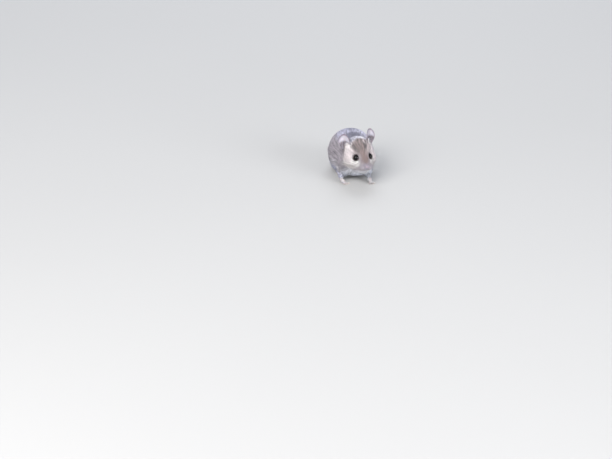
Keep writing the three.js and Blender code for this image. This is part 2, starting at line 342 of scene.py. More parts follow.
def setStage():
    s = stageSet
    bm = bmesh.new()
    bmesh.ops.create_grid(bm, x_segments=8, y_segments=8, size=s["floorSize"])
    floor = fromBmesh("floor", bm, smooth=False)
    material, tree, shader, place = startMaterial("paleFloor", {"Roughness": s["floorRough"]})
    ramp = put(tree, "ValToRGB", {"Fac": noiseOf(tree, place, s["floorCloud"], 2.0)})
    for stop, share in zip(ramp.color_ramp.elements, s["floorShades"]):
        stop.color = (*(c * share for c in s["floorTint"]), 1)
    tree.links.new(ramp.outputs["Color"], shader.inputs["Base Color"])
    floor.data.materials.append(material)
    world = bpy.data.worlds.new("softSky")
    world.use_nodes = True
    sky = world.node_tree.nodes["Background"]
    sky.inputs["Color"].default_value = (*s["skyTint"], 1)
    sky.inputs["Strength"].default_value = s["skyPower"]
    bpy.context.scene.world = world
    bpy.context.scene.view_settings.view_transform = "Standard"
    target = headMiddle + Vector(s["lampTarget"]) * mm
    for lamp in ("key", "fill", "back"):
        place, size, power, tint = (s[lamp + key] for key in ("Place", "Size", "Power", "Tint"))
        softbox(lamp + "Softbox", place, size, power, tint, target)


def setCamera():
    s = cameraSet
    turn, rise = math.radians(s["turn"]), math.radians(s["rise"])
    sight = Vector((-math.sin(turn) * math.cos(rise), math.cos(turn) * math.cos(rise), -math.sin(rise)))
    right = Vector((math.cos(turn), math.sin(turn), 0))
    above = right.cross(sight)
    ground = eyesMiddle + Vector(s["standing"]) * mm
    data = bpy.data.cameras.new("camera")
    data.sensor_width = s["sensor"]
    data.lens = s["sensor"] / 2 / math.tan(math.radians(s["fieldOfView"]) / 2)
    data.clip_start, data.clip_end = s["nearest"], s["farthest"]
    camera = linkUp("camera", data)
    camera.location = ground - sight * s["reach"]
    target = ground + (right * s["aside"] + above * s["above"]) * mm
    camera.rotation_euler = (target - camera.location).to_track_quat("-Z", "Y").to_euler()
    bpy.context.scene.camera = camera


setStage()
setCamera()
print("stage, lights and camera are set")

# ---- the skin: every node of flesh melted into one closed surface ----

skinSet = dict(
    voxel=0.21, faces=176000,
    swell=0.19, swellFoot=0.5, swellEar=0.75,  # mm, and shares of it, to close the cuts between nodes
    sink=0.5, stand=0.6,  # mm, the most that the eased skin may lie inside or outside the solids
)
# Rounds of easing for each part, how deep its coat is, how long and wide the tufts are, in mm,
# and how many tufts there are to a square mm.
coatSet = dict(
    trunk=dict(ease=70, depth=1.30, length=4.2, width=0.165, crowd=35.0),
    neck=dict(ease=70, depth=1.10, length=3.2, width=0.15, crowd=41.0),
    head=dict(ease=26, depth=0.70, length=1.9, width=0.12, crowd=70.0),
    ear=dict(ease=4, depth=0.0, length=0.60, width=0.06, crowd=34.0),
    foreleg=dict(ease=26, depth=0.55, length=1.6, width=0.12, crowd=38.0),
    hindleg=dict(ease=70, depth=0.90, length=2.9, width=0.16, crowd=33.0),
    forefoot=dict(ease=4, depth=0.05, length=0.55, width=0.08, crowd=26.0),
    hindfoot=dict(ease=4, depth=0.05, length=0.65, width=0.08, crowd=26.0),
    tail=dict(ease=4, depth=0.04, length=0.70, width=0.06, crowd=14.0),
)
# How the coat changes over the head, from the nose back: place in mm, depth, length, width, crowd
headCoat = (
    (11.5, 0.10, 0.45, 0.060, 110.0),
    (9.0, 0.20, 0.78, 0.075, 100.0),
    (5.0, 0.40, 1.30, 0.095, 86.0),
    (0.0, 0.68, 1.95, 0.115, 70.0),
    (-6.0, 0.92, 2.6, 0.140, 52.0),
)
eyeCoat = dict(numbers=(0.20, 0.80, 0.080, 105), inner=0.2, outer=1.8, behind=2)  # and beside the eyes
fleshNodes = [name for name in frame["nodes"] if not name.startswith(("eye", "nose"))]
partNames = list(coatSet)


def isPart(parts, *names):
    return np.isin(parts, [partNames.index(name) for name in names])


def partOf(node):
    kind = node.split("_")[0]
    return partNames.index(kind if kind in partNames else "head")


def mergedNode(node):  # a node's loose triangles, joined
    bm = bmesh.new()
    bm.from_mesh(frame["nodes"][node].data)
    bmesh.ops.remove_doubles(bm, verts=bm.verts, dist=2e-6)
    return bm


def solidTree(nodes):  # all the solids as one search tree, and the part that each face belongs to
    points, faces, owner = [], [], []
    for node in nodes:
        bm = mergedNode(node)
        start = len(points)
        points += [v.co.copy() for v in bm.verts]
        faces += [[v.index + start for v in f.verts] for f in bm.faces]
        owner += [partOf(node)] * len(bm.faces)
        bm.free()
    return BVHTree.FromPolygons(points, faces), np.array(owner)


def partsAt(points, tree, owner):
    return np.array([owner[tree.find_nearest(p)[2]] for p in points])


def meltedFlesh():
    s = skinSet
    bm = bmesh.new()
    for node in frame["nodes"]:  # eyes and nose too, so that the skin runs on under them
        solid = mergedNode(node)
        solid.normal_update()
        share = s["swellFoot"] if "foot" in node else s["swellEar"] if "ear" in node else 1
        swell = s["swell"] * mm * share
        for v in solid.verts:
            v.co += v.normal * swell
        joinInto(bm, solid)
    melted = fromBmesh("meltedFlesh", bm)
    remesh = melted.modifiers.new("melt", "REMESH")
    remesh.mode, remesh.voxel_size = "VOXEL", s["voxel"] * mm
    return finished(melted)


def meltedSkin():  # thinned where long fur covers it, and left fine on the face, ears, feet and tail
    melted = meltedFlesh()
    tree, owner = solidTree(frame["nodes"])
    parts = partsAt(pointsOf(melted), tree, owner)
    piece = linkUp("meltedSkin", melted)
    furred = piece.vertex_groups.new(name="furred")
    for name in ("trunk", "neck", "hindleg"):
        furred.add(np.flatnonzero(isPart(parts, name)).tolist(), 1.0, "REPLACE")
    thin = piece.modifiers.new("thin", "DECIMATE")
    thin.ratio = skinSet["faces"] / (2 * len(melted.polygons))
    thin.vertex_group, thin.vertex_group_factor = "furred", 1.0
    return finished(piece), tree, owner


# The eye's opening, in degrees each way, and the bowl round it and how far back it reaches, in mm
lidSet = dict(long=67, high=59, bowl=1.6, behind=1.2, under=0.85, inside=0.08, level=0.04)
gaze = {
    side: (headForward * 0.58 + headLeft * sign * 0.69 + headUp * 0.42).normalized()
    for side, sign in sideSign.items()
}
earSet = dict(
    left=dict(root=(-2.6, 5.4, 3.9), grows=(-0.30, 0.10, 0.95), opens=(0.80, 0.60, 0.10)),
    right=dict(root=(-2.6, -6.2, 2.2), grows=(-0.30, -0.14, 0.92), opens=(0.70, -0.72, 0.10)),
)
earShell = dict(halfWide=4.0, halfHigh=4.9, middle=5.0)  # the egg that the ear's rim follows, in mm


def eyeAxes(side):  # along the eye's opening, and out of it
    return (headForward - gaze[side] * headForward.dot(gaze[side])).normalized(), gaze[side]


def openingAt(turn):  # half the eye's opening, in degrees, at a turn round its axis
    return 1 / np.sqrt((np.cos(turn) / lidSet["long"]) ** 2 + (np.sin(turn) / lidSet["high"]) ** 2)


def eyePlaces(points, side):
    # How far in front of the eye's middle and aside from its axis each point is, and how far aside
    # and in front the edge of the opening is on that side.
    along, look = (np.array(v) for v in eyeAxes(side))
    away = points - np.array(eyePlace[side])
    front, x, y = away @ look, away @ along, away @ np.cross(look, along)
    opening = np.radians(openingAt(np.arctan2(y, x)))
    return front, np.hypot(x, y), eyeRadius * np.sin(opening), eyeRadius * np.cos(opening)


def shapeLids(points):  # under the eyeball inside the opening, and up to the lid in a shallow bowl
    s = lidSet
    for side in sideSign:
        front, aside, edge, level = eyePlaces(points, side)
        look, middle = np.array(gaze[side]), np.array(eyePlace[side])
        near = front > -s["behind"] * mm
        inside = near & (aside < edge + s["inside"] * mm)
        under = middle + unitRows(points - middle) * (eyeRadius * s["under"])
        inBowl = near & (aside < edge + s["bowl"] * mm) & ~inside
        share = rising(aside, edge, edge + s["bowl"] * mm)
        shift = (level + s["level"] * mm - front) * (1 - share) * inBowl
        points = np.where(inside[:, None], under, points + look * shift[:, None])
    return points


def earAxes(side):  # across, up and out of the ear, and its root
    e = earSet[side]
    up = (headAxes @ Vector(e["grows"])).normalized()
    across = up.cross(headAxes @ Vector(e["opens"])).normalized()
    return across, up, across.cross(up), onHead(*e["root"])


def earPlaces(points, side):
    # How far sideways and up the ear each point is, in mm, the way the ear opens, and the point's reach
    # towards the rim, where it is 1.
    s = earShell
    across, up, out, root = (np.array(v) for v in earAxes(side))
    away = (points - root) / mm
    sideways, high = away @ across, away @ up
    reach = np.sqrt((sideways / s["halfWide"]) ** 2 + ((high - s["middle"]) / s["halfHigh"]) ** 2)
    return sideways, high, out, reach


def shapeEars(points, normals, parts):  # a rolled rim, and ridges that fan up from the ear's mouth
    s = dict(rim=0.20, ridge=0.50, ridgeWide=0.42, fades=0.85, steps=24,
             ridges=(((-2.0, 1.2), (-2.3, 3.6), (-1.6, 5.6)), ((0.2, 1.4), (0.4, 3.4), (0.2, 5.0)),
                     ((2.2, 1.4), (2.4, 3.2), (2.0, 4.6))))
    raised = np.zeros(len(points))
    for side in sideSign:
        own = np.flatnonzero(isPart(parts, "ear") & onSide(points, side))
        sideways, high, out, reach = earPlaces(points[own], side)
        inner = rising(normals[own] @ out, 0.2, 0.7)
        lift = s["rim"] * rising(reach, 0.78, 0.88) * rising(reach, 1.02, 0.93) * (high > 2.2)
        for ridge in s["ridges"]:
            start, bend, end = np.array(ridge)
            t = np.linspace(0, 1, s["steps"])[:, None]
            line = (1 - t) ** 2 * start + 2 * t * (1 - t) * bend + t ** 2 * end
            gap = np.sqrt((sideways[:, None] - line[:, 0]) ** 2 + (high[:, None] - line[:, 1]) ** 2)
            size = (1 - t[:, 0] * s["fades"])[gap.argmin(axis=1)]
            lift = lift + s["ridge"] * size * np.exp(-(gap.min(axis=1) / s["ridgeWide"]) ** 2)
        raised[own] = np.clip(lift / s["ridge"], 0, 1) * inner
        points[own] += normals[own] * (lift * inner * mm)[:, None]
    return points, raised


# Where the fingers and toes fan out from, in mm, the way they point, and each one's angle
feet = dict(
    forefoot_left=dict(palm=(7.17, -25.67), heading=(0.16, -1.0), fan=(-38, -13, 13, 38)),
    forefoot_right=dict(palm=(-7.93, -24.87), heading=(0.62, -0.9), fan=(-38, -13, 13, 38)),
    hindfoot_left=dict(palm=(5.37, -9.07), heading=(0.1, -1.0), fan=(-34, -15, 0, 15, 34)),
    hindfoot_right=dict(palm=(-8.03, -9.07), heading=(-0.1, -1.0), fan=(-34, -15, 0, 15, 34)),
)


def partDigits(points, parts):  # grooves between the fingers and between the toes
    s = dict(wide=0.27, start=1.1, full=2.3, deep=0.92, back=0.36, backStart=2.2, backFull=3.4,
             farthest=6.5)
    gaps = np.zeros(len(points))
    for name, f in feet.items():
        away = points[:, :2] / mm - np.array(f["palm"])
        reach = np.hypot(*away.T)
        own = np.flatnonzero(isPart(parts, name.split("_")[0]) & (reach < s["farthest"]))
        away, reach = away[own], reach[own]
        turn = np.arctan2(away[:, 1], away[:, 0]) - math.atan2(f["heading"][1], f["heading"][0])
        turn = (np.degrees(turn) + 180) % 360 - 180
        groove = np.zeros(len(own))
        for a, b in zip(f["fan"], f["fan"][1:]):
            aside = reach * np.sin(np.radians(np.clip(turn - (a + b) / 2, -60, 60)))
            dip = np.exp(-(aside / s["wide"]) ** 2) * rising(reach, s["start"], s["full"])
            groove = np.maximum(groove, dip)
        gaps[own] = groove
        points[own, 2] *= 1 - s["deep"] * groove
        pull = groove * s["back"] * rising(reach, s["backStart"], s["backFull"])
        points[own, :2] -= away * pull[:, None] * mm
    return points, gaps


# Creases as lines over the head, in mm from its middle: each side of the mouth, and the cleft of the lip
creaseSet = dict(
    mouth=((11.0, 0, -4.7), (9.6, 1.9, -5.2), (7.6, 3.5, -5.1), (5.6, 4.6, -4.4)),
    mouthWide=0.50, mouthDeep=0.34,
    cleft=((12.2, 0, -3.2), (11.4, 0, -4.0), (10.6, 0, -4.9)), cleftWide=0.40, cleftDeep=0.26,
)


def fineLine(corners, gap=0.15):  # a line's corners with steps of about a gap, in mm, between them
    line = []
    for a, b in zip(corners, corners[1:]):
        steps = max(1, int((b - a).length / (gap * mm)))
        line += [a.lerp(b, i / steps) for i in range(steps)]
    return line + [corners[-1]]


def pressLine(points, normals, line, wide, deep):
    tree = treeOf(line)
    low, high = np.array(line).min(axis=0) - wide * mm, np.array(line).max(axis=0) + wide * mm
    close = np.flatnonzero(((points > low) & (points < high)).all(axis=1))
    gap = np.array([tree.find(points[i])[2] for i in close])
    amount = np.clip(1 - (gap / (wide * mm)) ** 2, 0, 1) ** 2 * deep * mm
    points[close] -= normals[close] * amount[:, None]


def coatNumbers(points, parts):  # depth, length, width and crowd of the coat at each point
    keys = ("depth", "length", "width", "crowd")
    values = np.array([[coatSet[name][key] for key in keys] for name in partNames])[parts]
    onIt = isPart(parts, "head")
    forward = headPlaces(points[onIt])[:, 0]
    steps = np.array(headCoat)[::-1]
    for column in range(len(keys)):
        values[onIt, column] = np.interp(forward, steps[:, 0], steps[:, column + 1])
    for side in sideSign:
        front, aside, edge = eyePlaces(points, side)[:3]
        far = rising(aside, edge + eyeCoat["inner"] * mm, edge + eyeCoat["outer"] * mm)
        far = np.maximum(far, front < -eyeCoat["behind"] * mm)
        for column, beside in enumerate(eyeCoat["numbers"]):
            values[:, column] = blendOf(far, beside, values[:, column])
    return values


def shapeSkin():
    mesh, cadTree, cadOwner = meltedSkin()
    web = Web(mesh)
    parts = partsAt(pointsOf(mesh), cadTree, cadOwner)
    rounds = np.array([coatSet[name]["ease"] for name in partNames], dtype=float)
    points = web.eased(pointsOf(mesh), int(rounds.max()), hold=web.eased(rounds[parts], 12))
    putPoints(mesh, points)

    # how far the eased surface stands off the solids, evened out, then down to the foot of the coat
    normals = normalsOf(mesh)
    hits = [cadTree.find_nearest(p) for p in points]
    place = np.array([h[0] for h in hits])
    stands = np.linalg.norm(points - place, axis=1) * np.sign(rowDot(points - place, normals))
    stands = np.clip(stands, -skinSet["sink"] * mm, skinSet["stand"] * mm)
    parts = np.array([cadOwner[h[2]] for h in hits])
    numbers = web.eased(coatNumbers(points, parts), 16)
    down = web.eased(stands, 10) + numbers[:, 0] * mm
    points = points - normals * down[:, None]
    points = web.eased(points, 4, hold=np.where(isPart(parts, "ear", "forefoot", "hindfoot", "tail"), 1, 4))
    points, raised = shapeEars(points, normalsOf(mesh), parts)
    points, gaps = partDigits(points, parts)
    points = shapeLids(points)
    points[:, 2] = np.maximum(points[:, 2], 0.01 * mm)
    putPoints(mesh, points)
    normals = normalsOf(mesh)
    surface = BVHTree.FromPolygons([Vector(p) for p in points], [list(f.vertices) for f in mesh.polygons])
    for name, sign in (("mouth", 1), ("mouth", -1), ("cleft", 1)):
        corners = [onHead(forward, sign * left, up) for forward, left, up in creaseSet[name]]
        line = [surface.find_nearest(p)[0] for p in fineLine(corners)]
        pressLine(points, normals, line, creaseSet[name + "Wide"], creaseSet[name + "Deep"])
    putPoints(mesh, points)
    return mesh, web, parts, numbers, raised, gaps


skinMesh, web, skinPart, coatNumber, earRaised, digitGaps = shapeSkin()
skin = linkUp("skin", skinMesh)
skinMesh.polygons.foreach_set("use_smooth", [True] * len(skinMesh.polygons))
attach(skin, "root")
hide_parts(*fleshNodes)
print("skin shaped:", len(skinMesh.vertices), "points")

# ---- markings: one group for the skin and the coat ----

tints = dict(
    # the back's tint is the coat's grey with a painted bluish sheen of the light from above
    back=tinted(200, 199, 219), spine=tinted(133, 132, 149), flank=tinted(176, 167, 173),
    lowFlank=tinted(196, 192, 197), belly=tinted(198, 200, 221), breast=tinted(234, 238, 246),
    # the first tint on the next line is painted shade in the fold between the head and the back
    nape=tinted(112, 113, 130), crown=tinted(222, 222, 235), brow=tinted(130, 116, 112),
    # the next line: a painted highlight on the back, a painted glint on the crown, and painted shadow round
    # the ears
    backLight=tinted(226, 226, 240), crownLight=tinted(252, 252, 255), earShade=tinted(104, 94, 96),
    browSide=tinted(183, 171, 169), midline=tinted(112, 99, 93), bridge=tinted(138, 116, 110),
    cheek=tinted(241, 231, 231), underEye=tinted(255, 253, 249), lowCheek=tinted(212, 208, 204),
    muzzle=tinted(178, 170, 178), nosePatch=tinted(138, 128, 140), chin=tinted(248, 250, 255),
    eyeRing=tinted(92, 80, 76), earFront=tinted(252, 245, 244),
)
# Up or down the body, over these heights in mm, each tint takes over from the last; the back's tint on top
# holds a painted bluish sheen of the light from above
bodyBelts = (("back", 19, 23.5), ("lowFlank", 12.5, 6.5), ("belly", 7.5, 3.5))
# Each mark in turn: tint, strength, place and half-sizes in mm, and how soft its edge is
spinePlace = Vector((bodyMiddle.x, bodyMiddle.y, 0)) + Vector((1.2, 3.0, 24.5)) * mm
breastPlace = Vector((headMiddle.x, bodyMiddle.y, 0)) + Vector((-1.2, -16.5, 5.5)) * mm
bodyMarks = (
    ("spine", 0.6, spinePlace, (3.4, 18.5, 4.2), 0.9),
    ("breast", 0.9, breastPlace, (8.5, 8, 6.5), 0.6),
)
headMarks = (
    ("flank", 1.0, (-6.0, 0, -1.5), (10, 12, 10), 0.5),
    # painted shade in the fold between the head and the back
    ("nape", 0.75, (-12.6, 0.4, 7.0), (3.8, 6.2, 3.6), 0.7),
    # a painted highlight along the top of the back
    ("backLight", 0.35, (-19.0, 5.5, 7.0), (6.0, 3.6, 3.0), 0.9),
    # the crown's own pale grey, partly a painted bluish sheen of the light from above
    ("crown", 0.95, (-4.2, 0, 9.0), (4.6, 7.0, 3.8), 0.5),
    # a painted glint on the crown
    ("crownLight", 0.5, (-3.6, 2.2, 9.0), (1.7, 1.5, 1.6), 0.9),
    # painted shadow on the fur behind and below each ear
    ("earShade", 0.95, (-3.0, -8.4, 2.5), (2.5, 2.9, 3.2), 0.9),
    ("earShade", 0.7, (-7.2, -7.8, 0.5), (3.4, 2.0, 1.9), 0.9),
    ("earShade", 0.4, (-3.6, 8.0, 4.4), (2.0, 2.4, 2.6), 0.9),
    ("browSide", 0.95, (2.0, 0, 6.0), (5.6, 6.6, 5.0), 0.5),
    ("cheek", 0.95, (1.6, -7.6, 1.4), (4.6, 3.4, 5.0), 0.5),
    ("cheek", 0.95, (1.6, 7.6, 1.4), (4.6, 3.4, 4.6), 0.5),
    ("cheek", 0.95, (4.2, -7.0, -1.6), (5.6, 3.6, 3.4), 0.5),
    ("cheek", 0.80, (4.2, 7.0, -1.4), (5.6, 3.6, 3.4), 0.5),
    ("lowCheek", 0.8, (1.6, -8.0, -5.0), (6.0, 4.5, 2.6), 0.7),
    ("lowCheek", 0.8, (1.6, 8.0, -5.0), (6.0, 4.5, 2.6), 0.7),
    ("brow", 0.95, (2.6, -1.4, 6.4), (5.0, 3.1, 4.4), 0.7),
    ("midline", 0.25, (3.2, -0.3, 7.2), (4.4, 1.6, 3.0), 0.8),
    ("bridge", 0.95, (8.0, 0.2, 1.6), (5.2, 2.6, 3.6), 1.0),
    ("underEye", 1.0, (6.8, -5.0, -1.7), (3.8, 2.8, 1.9), 1.0),
    ("underEye", 0.85, (7.2, 5.0, -1.4), (3.2, 2.4, 1.6), 0.6),
    ("muzzle", 0.95, (10.8, 0, -3.0), (3.0, 4.4, 2.2), 0.6),
    ("nosePatch", 0.8, (12.0, 0, -1.8), (2.0, 1.9, 1.5), 0.8),
    ("chin", 0.95, (8.0, 0, -6.8), (5.0, 5.0, 2.6), 0.5),
    ("chin", 0.9, (0.5, 0, -8.2), (8.5, 7.0, 3.0), 0.5),
    ("earFront", 0.85, (-1.2, 6.0, 6.0), (1.8, 2.0, 2.8), 0.8),
    ("earFront", 0.95, (-1.2, -6.6, 4.9), (2.1, 2.4, 3.3), 0.8),
)
markSet = dict(blurScale=420.0, blur=2.2, ringInner=0.30, ringOuter=0.75, ring=0.7)
streakSet = dict(
    bodyRadius=17.0, bodyLong=4.5, bodyHigh=11.0, headRadius=13.0, headLong=4.6, headHigh=-1.2,
    body=0.38, head=0.26, brow=0.75,  # how strong the streaks are
    browSpot=((1.5, 0, 6.5), (6.5, 5.2, 5.5), 0.7), headSpot=((2.5, 0, -0.5), (11.5, 10, 10.5), 0.2),
)


def headSpot(tree, place, middle, halfSizes, soft):
    return spotMask(tree, place, onHead(*middle), headTurn, [h * mm for h in halfSizes], soft)


def streaksRound(tree, axis, radius, long):  # streaks that run along x, with y and z around it
    x, y, z = put(tree, "SeparateXYZ", {0: axis}).outputs
    around = vectors(tree, "NORMALIZE", put(tree, "CombineXYZ", {"X": 0.0, "Y": y, "Z": z}).outputs[0])
    around = vectors(tree, "SCALE", around, scale=radius)
    run = put(tree, "CombineXYZ", {"X": sums(tree, "DIVIDE", x, long)}).outputs[0]
    streaks = noiseOf(tree, vectors(tree, "ADD", around, run), 0.95, 2.0, 0.6)
    return ranged(tree, streaks, 0.38, 0.62, -1.0, 1.0, smooth=False)


def makeStreaks(tree, place):  # a factor round 1, over the body and over the head
    s = streakSet
    middle = (bodyMiddle.x, bodyMiddle.y, s["bodyHigh"] * mm)
    onBody = framed(tree, place, middle, (0, 0, math.pi / 2), (mm, mm, mm))
    onFace = framed(tree, place, onHead(0, 0, s["headHigh"]), headTurn, (mm, mm, mm))
    body = times(tree, streaksRound(tree, onBody, s["bodyRadius"], s["bodyLong"]), s["body"])
    head = streaksRound(tree, onFace, s["headRadius"], s["headLong"])
    brow = headSpot(tree, place, *s["browSpot"])
    head = times(tree, head, ranged(tree, brow, 0.0, 1.0, s["head"], s["brow"], smooth=False))
    onIt = headSpot(tree, place, *s["headSpot"])
    mixed = put(tree, "Mix", {0: onIt, 2: body, 3: head}, data_type="FLOAT").outputs[0]
    return sums(tree, "ADD", mixed, 1.0)


def makeMarkings():
    s = markSet
    tree, given = startGroup("coatMarkings", [("Place", "Vector", None)], [("Color", "Color")])
    place = given.outputs["Place"]
    blur = put(tree, "TexNoise", {"Vector": place, "Scale": s["blurScale"], "Detail": 2.0}).outputs["Color"]
    shift = vectors(tree, "SUBTRACT", blur, (0.5, 0.5, 0.5))
    place = vectors(tree, "ADD", place, vectors(tree, "SCALE", shift, scale=s["blur"] * mm))
    height = put(tree, "SeparateXYZ", {0: place}).outputs["Z"]
    color = tints["flank"]
    for name, start, end in bodyBelts:
        color = mixTint(tree, ranged(tree, height, start * mm, end * mm), color, tints[name])
    for name, strength, middle, halfSizes, soft in bodyMarks:
        mask = spotMask(tree, place, middle, (0, 0, 0), [h * mm for h in halfSizes], soft)
        color = mixTint(tree, times(tree, mask, strength), color, tints[name])
    for name, strength, *spot in headMarks:
        color = mixTint(tree, times(tree, headSpot(tree, place, *spot), strength), color, tints[name])
    for side in sideSign:
        inner, outer = (eyeRadius + s[key] * mm for key in ("ringInner", "ringOuter"))
        mask = ranged(tree, vectors(tree, "DISTANCE", place, eyePlace[side]), inner, outer, 1.0, 0.0)
        color = mixTint(tree, times(tree, mask, s["ring"]), color, tints["eyeRing"])
    return endGroup(tree, Color=vectors(tree, "SCALE", color, scale=makeStreaks(tree, place)))


def makeGrain():  # hairs as streaks that run back along the body
    inputs = [("Place", "Vector", None), ("Fine", "Float", 1.0)]
    tree, given = startGroup("hairGrain", inputs, [("Height", "Float")])
    spread = vectors(tree, "MULTIPLY", given.outputs["Place"], (1.0, 0.16, 0.8))
    scale = times(tree, given.outputs["Fine"], 5200.0)
    return endGroup(tree, Height=noiseOf(tree, spread, scale, 4.0, 0.6))


markings = makeMarkings()
hairGrain = makeGrain()


def earTinted(tree, mottle, veins):
    # the inside tint is the ear's own pale skin with a painted sheen on it
    s = dict(inside=tinted(186, 183, 192), earHollowShade=tinted(66, 58, 61), earBack=tinted(128, 122, 132),
             earRim=tinted(110, 103, 114), vein=tinted(136, 98, 104), veins=0.15,
             mottle=tinted(128, 120, 128), mottled=0.25)
    tint = s["inside"]
    # painted shade deep in the ear's hollow, then the ear's darker back and rim
    for name in ("earHollowShade", "earBack", "earRim"):
        tint = mixTint(tree, attributeOf(tree, name), tint, s[name])
    tint = mixTint(tree, times(tree, veins, s["veins"]), tint, s["vein"])
    return mixTint(tree, times(tree, mottle, s["mottled"]), tint, s["mottle"])


def footTinted(tree, mottle):
    # the gap tint is painted shade in the grooves between the fingers and toes
    s = dict(skin=tinted(160, 150, 150), pale=tinted(184, 178, 179), gap=tinted(96, 84, 86), gaps=0.85)
    tint = mixTint(tree, ranged(tree, mottle, 0.35, 0.65), s["skin"], s["pale"])
    return mixTint(tree, times(tree, attributeOf(tree, "digitGapShade"), s["gaps"]), tint, s["gap"])


def tailTinted(tree, mottle, ring):
    s = dict(top=tinted(112, 102, 106), under=tinted(204, 188, 186), gap=tinted(60, 52, 54), gaps=0.45,
             mottle=tinted(150, 134, 134), mottled=0.3)
    tint = mixTint(tree, attributeOf(tree, "tailUnder"), s["top"], s["under"])
    tint = mixTint(tree, ranged(tree, ring, 0.0, 0.35, s["gaps"], 0.0), tint, s["gap"])
    return mixTint(tree, times(tree, mottle, s["mottled"]), tint, s["mottle"])


def dressSkin():
    s = dict(hairRoot=tinted(104, 99, 107), ringStep=0.42, rough=0.85, grain=1.6, creases=0.5, scales=350.0)
    material, tree, shader, place = startMaterial("mouseSkin", {
        "Specular IOR Level": 0.4, "Subsurface Weight": 0.12, "Subsurface Scale": 0.0006,
        "Sheen Weight": 0.15, "Sheen Roughness": 0.4})
    ear, foot, tail = (attributeOf(tree, name) for name in ("earShare", "footShare", "tailShare"))
    furred = useGroup(tree, markings, "Color", Place=place)
    grain = useGroup(tree, hairGrain, "Height", Place=place, Fine=1.0)
    furred = mixTint(tree, ranged(tree, grain, 0.35, 0.7, 0.65, 0.15), furred, s["hairRoot"])
    mottle = noiseOf(tree, place, 900.0, 4.0, 0.6)
    veins = sums(tree, "ABSOLUTE", sums(tree, "SUBTRACT", noiseOf(tree, place, 520.0, 6.0, 0.75), 0.5))
    veins = ranged(tree, veins, 0.0, 0.045, 1.0, 0.0)
    ring = sums(tree, "PINGPONG", attributeOf(tree, "tailAlong"), s["ringStep"] / 2)
    ring = sums(tree, "DIVIDE", ring, s["ringStep"] / 2)
    color = mixTint(tree, ear, furred, earTinted(tree, mottle, veins))
    color = mixTint(tree, foot, color, footTinted(tree, mottle))
    color = mixTint(tree, tail, color, tailTinted(tree, mottle, ring))
    tree.links.new(color, shader.inputs["Base Color"])
    bare = sums(tree, "ADD", sums(tree, "ADD", ear, foot), tail, clamp=True)
    smooth = times(tree, bare, ranged(tree, mottle, 0.3, 0.7, 0.27, 0.14))
    tree.links.new(sums(tree, "SUBTRACT", s["rough"], smooth), shader.inputs["Roughness"])

    # hairs where the skin is furred, fine creases where it is bare, rings and scales along the tail
    creased = noiseOf(tree, place, 3800.0, 3.0, 0.6)
    scales = put(tree, "TexVoronoi", {"Vector": place, "Scale": 2900.0}, feature="DISTANCE_TO_EDGE")
    scales = times(tree, scales.outputs["Distance"], s["scales"])
    relief = times(tree, times(tree, grain, s["grain"]), sums(tree, "SUBTRACT", 1.0, bare))
    relief = sums(tree, "ADD", relief, times(tree, times(tree, creased, s["creases"]), bare))
    ringed = sums(tree, "ADD", sums(tree, "SQRT", ring), scales)
    relief = sums(tree, "ADD", relief, times(tree, ringed, tail))
    bumped(tree, shader, relief, 0.6, 0.00012)
    skin.data.materials.append(material)


# The tail's middle line, from its root to its tip, in mm from the corner of the whole model's box
tailSet = dict(
    root=((-1.333, 9.333, 7.4), (-2.333, 13.733, 3.6), (-4.533, 18.333, 1.7)),
    curlMiddle=(4.167, 26.333), curlFrom=11.4, curlTo=8.0, turnFrom=172, turnTo=-102, steps=90,
    heightFrom=1.7, heightTo=0.5,
)


def tailLine():
    s = tailSet
    line = [Vector(p) for p in s["root"]]
    for i in range(s["steps"] + 1):
        t = i / s["steps"]
        turn = math.radians(blendOf(t, s["turnFrom"], s["turnTo"]))
        radius = blendOf(t, s["curlFrom"], s["curlTo"])
        x, y = s["curlMiddle"][0] + radius * math.cos(turn), s["curlMiddle"][1] + radius * math.sin(turn)
        line.append(Vector((x, y, blendOf(t, s["heightFrom"], s["heightTo"]))))
    return fineLine([p * mm for p in line], 0.2)


def tailPlaces(points):  # how far along the tail each point is, in mm, and the way the tail runs there
    line = np.array(tailLine())
    lengths = np.concatenate([[0], np.cumsum(np.linalg.norm(np.diff(line, axis=0), axis=1))])
    tree = treeOf(line)
    nearest = np.array([tree.find(p)[1] for p in points])
    tangents = unitRows(np.gradient(line, axis=0))[nearest]
    return (lengths[nearest] + rowDot(points - line[nearest], tangents)) / mm, tangents


def nameParts():  # where ear, foot and tail are on the skin, and the values that their tints follow
    points, normals = pointsOf(skinMesh), normalsOf(skinMesh)
    isEar, isTail = isPart(skinPart, "ear"), isPart(skinPart, "tail")
    isFoot = isPart(skinPart, "forefoot", "hindfoot")
    for name, which in (("earShare", isEar), ("footShare", isFoot), ("tailShare", isTail)):
        giveValues(skinMesh, name, rising(web.eased(which, 6), 0.2, 0.8))
    along, under, depth, rim, back = np.zeros((5, len(points)))
    along[isTail] = tailPlaces(points[isTail])[0]
    under[isTail] = rising(-normals[isTail, 2], -0.1, 0.7)
    for side, sign in sideSign.items():
        own = isEar & onSide(points, side)
        sideways, high, out, reach = earPlaces(points[own], side)
        facing = normals[own] @ out
        hollow = rising(np.hypot((sideways - sign * 1.1) / 3.7, (high - 2.5) / 3.7), 1.12, 0.70)
        # painted shade where the ear's hollow faces out, less on its raised ridges
        depth[own] = rising(facing, -0.1, 0.4) * hollow * (1 - 0.45 * earRaised[own])
        back[own] = rising(-facing, 0.0, 0.5)
        rim[own] = rising(reach, 0.70, 0.92) * rising(high, 1.6, 3.0)
    for name, values, rounds in (("tailAlong", along, 0), ("tailUnder", under, 0), ("earHollowShade", depth, 2),
                                 ("earRim", rim, 1), ("earBack", back, 2), ("digitGapShade", digitGaps, 1)):
        giveValues(skinMesh, name, web.eased(values, rounds))


nameParts()
dressSkin()
print("skin has its markings")

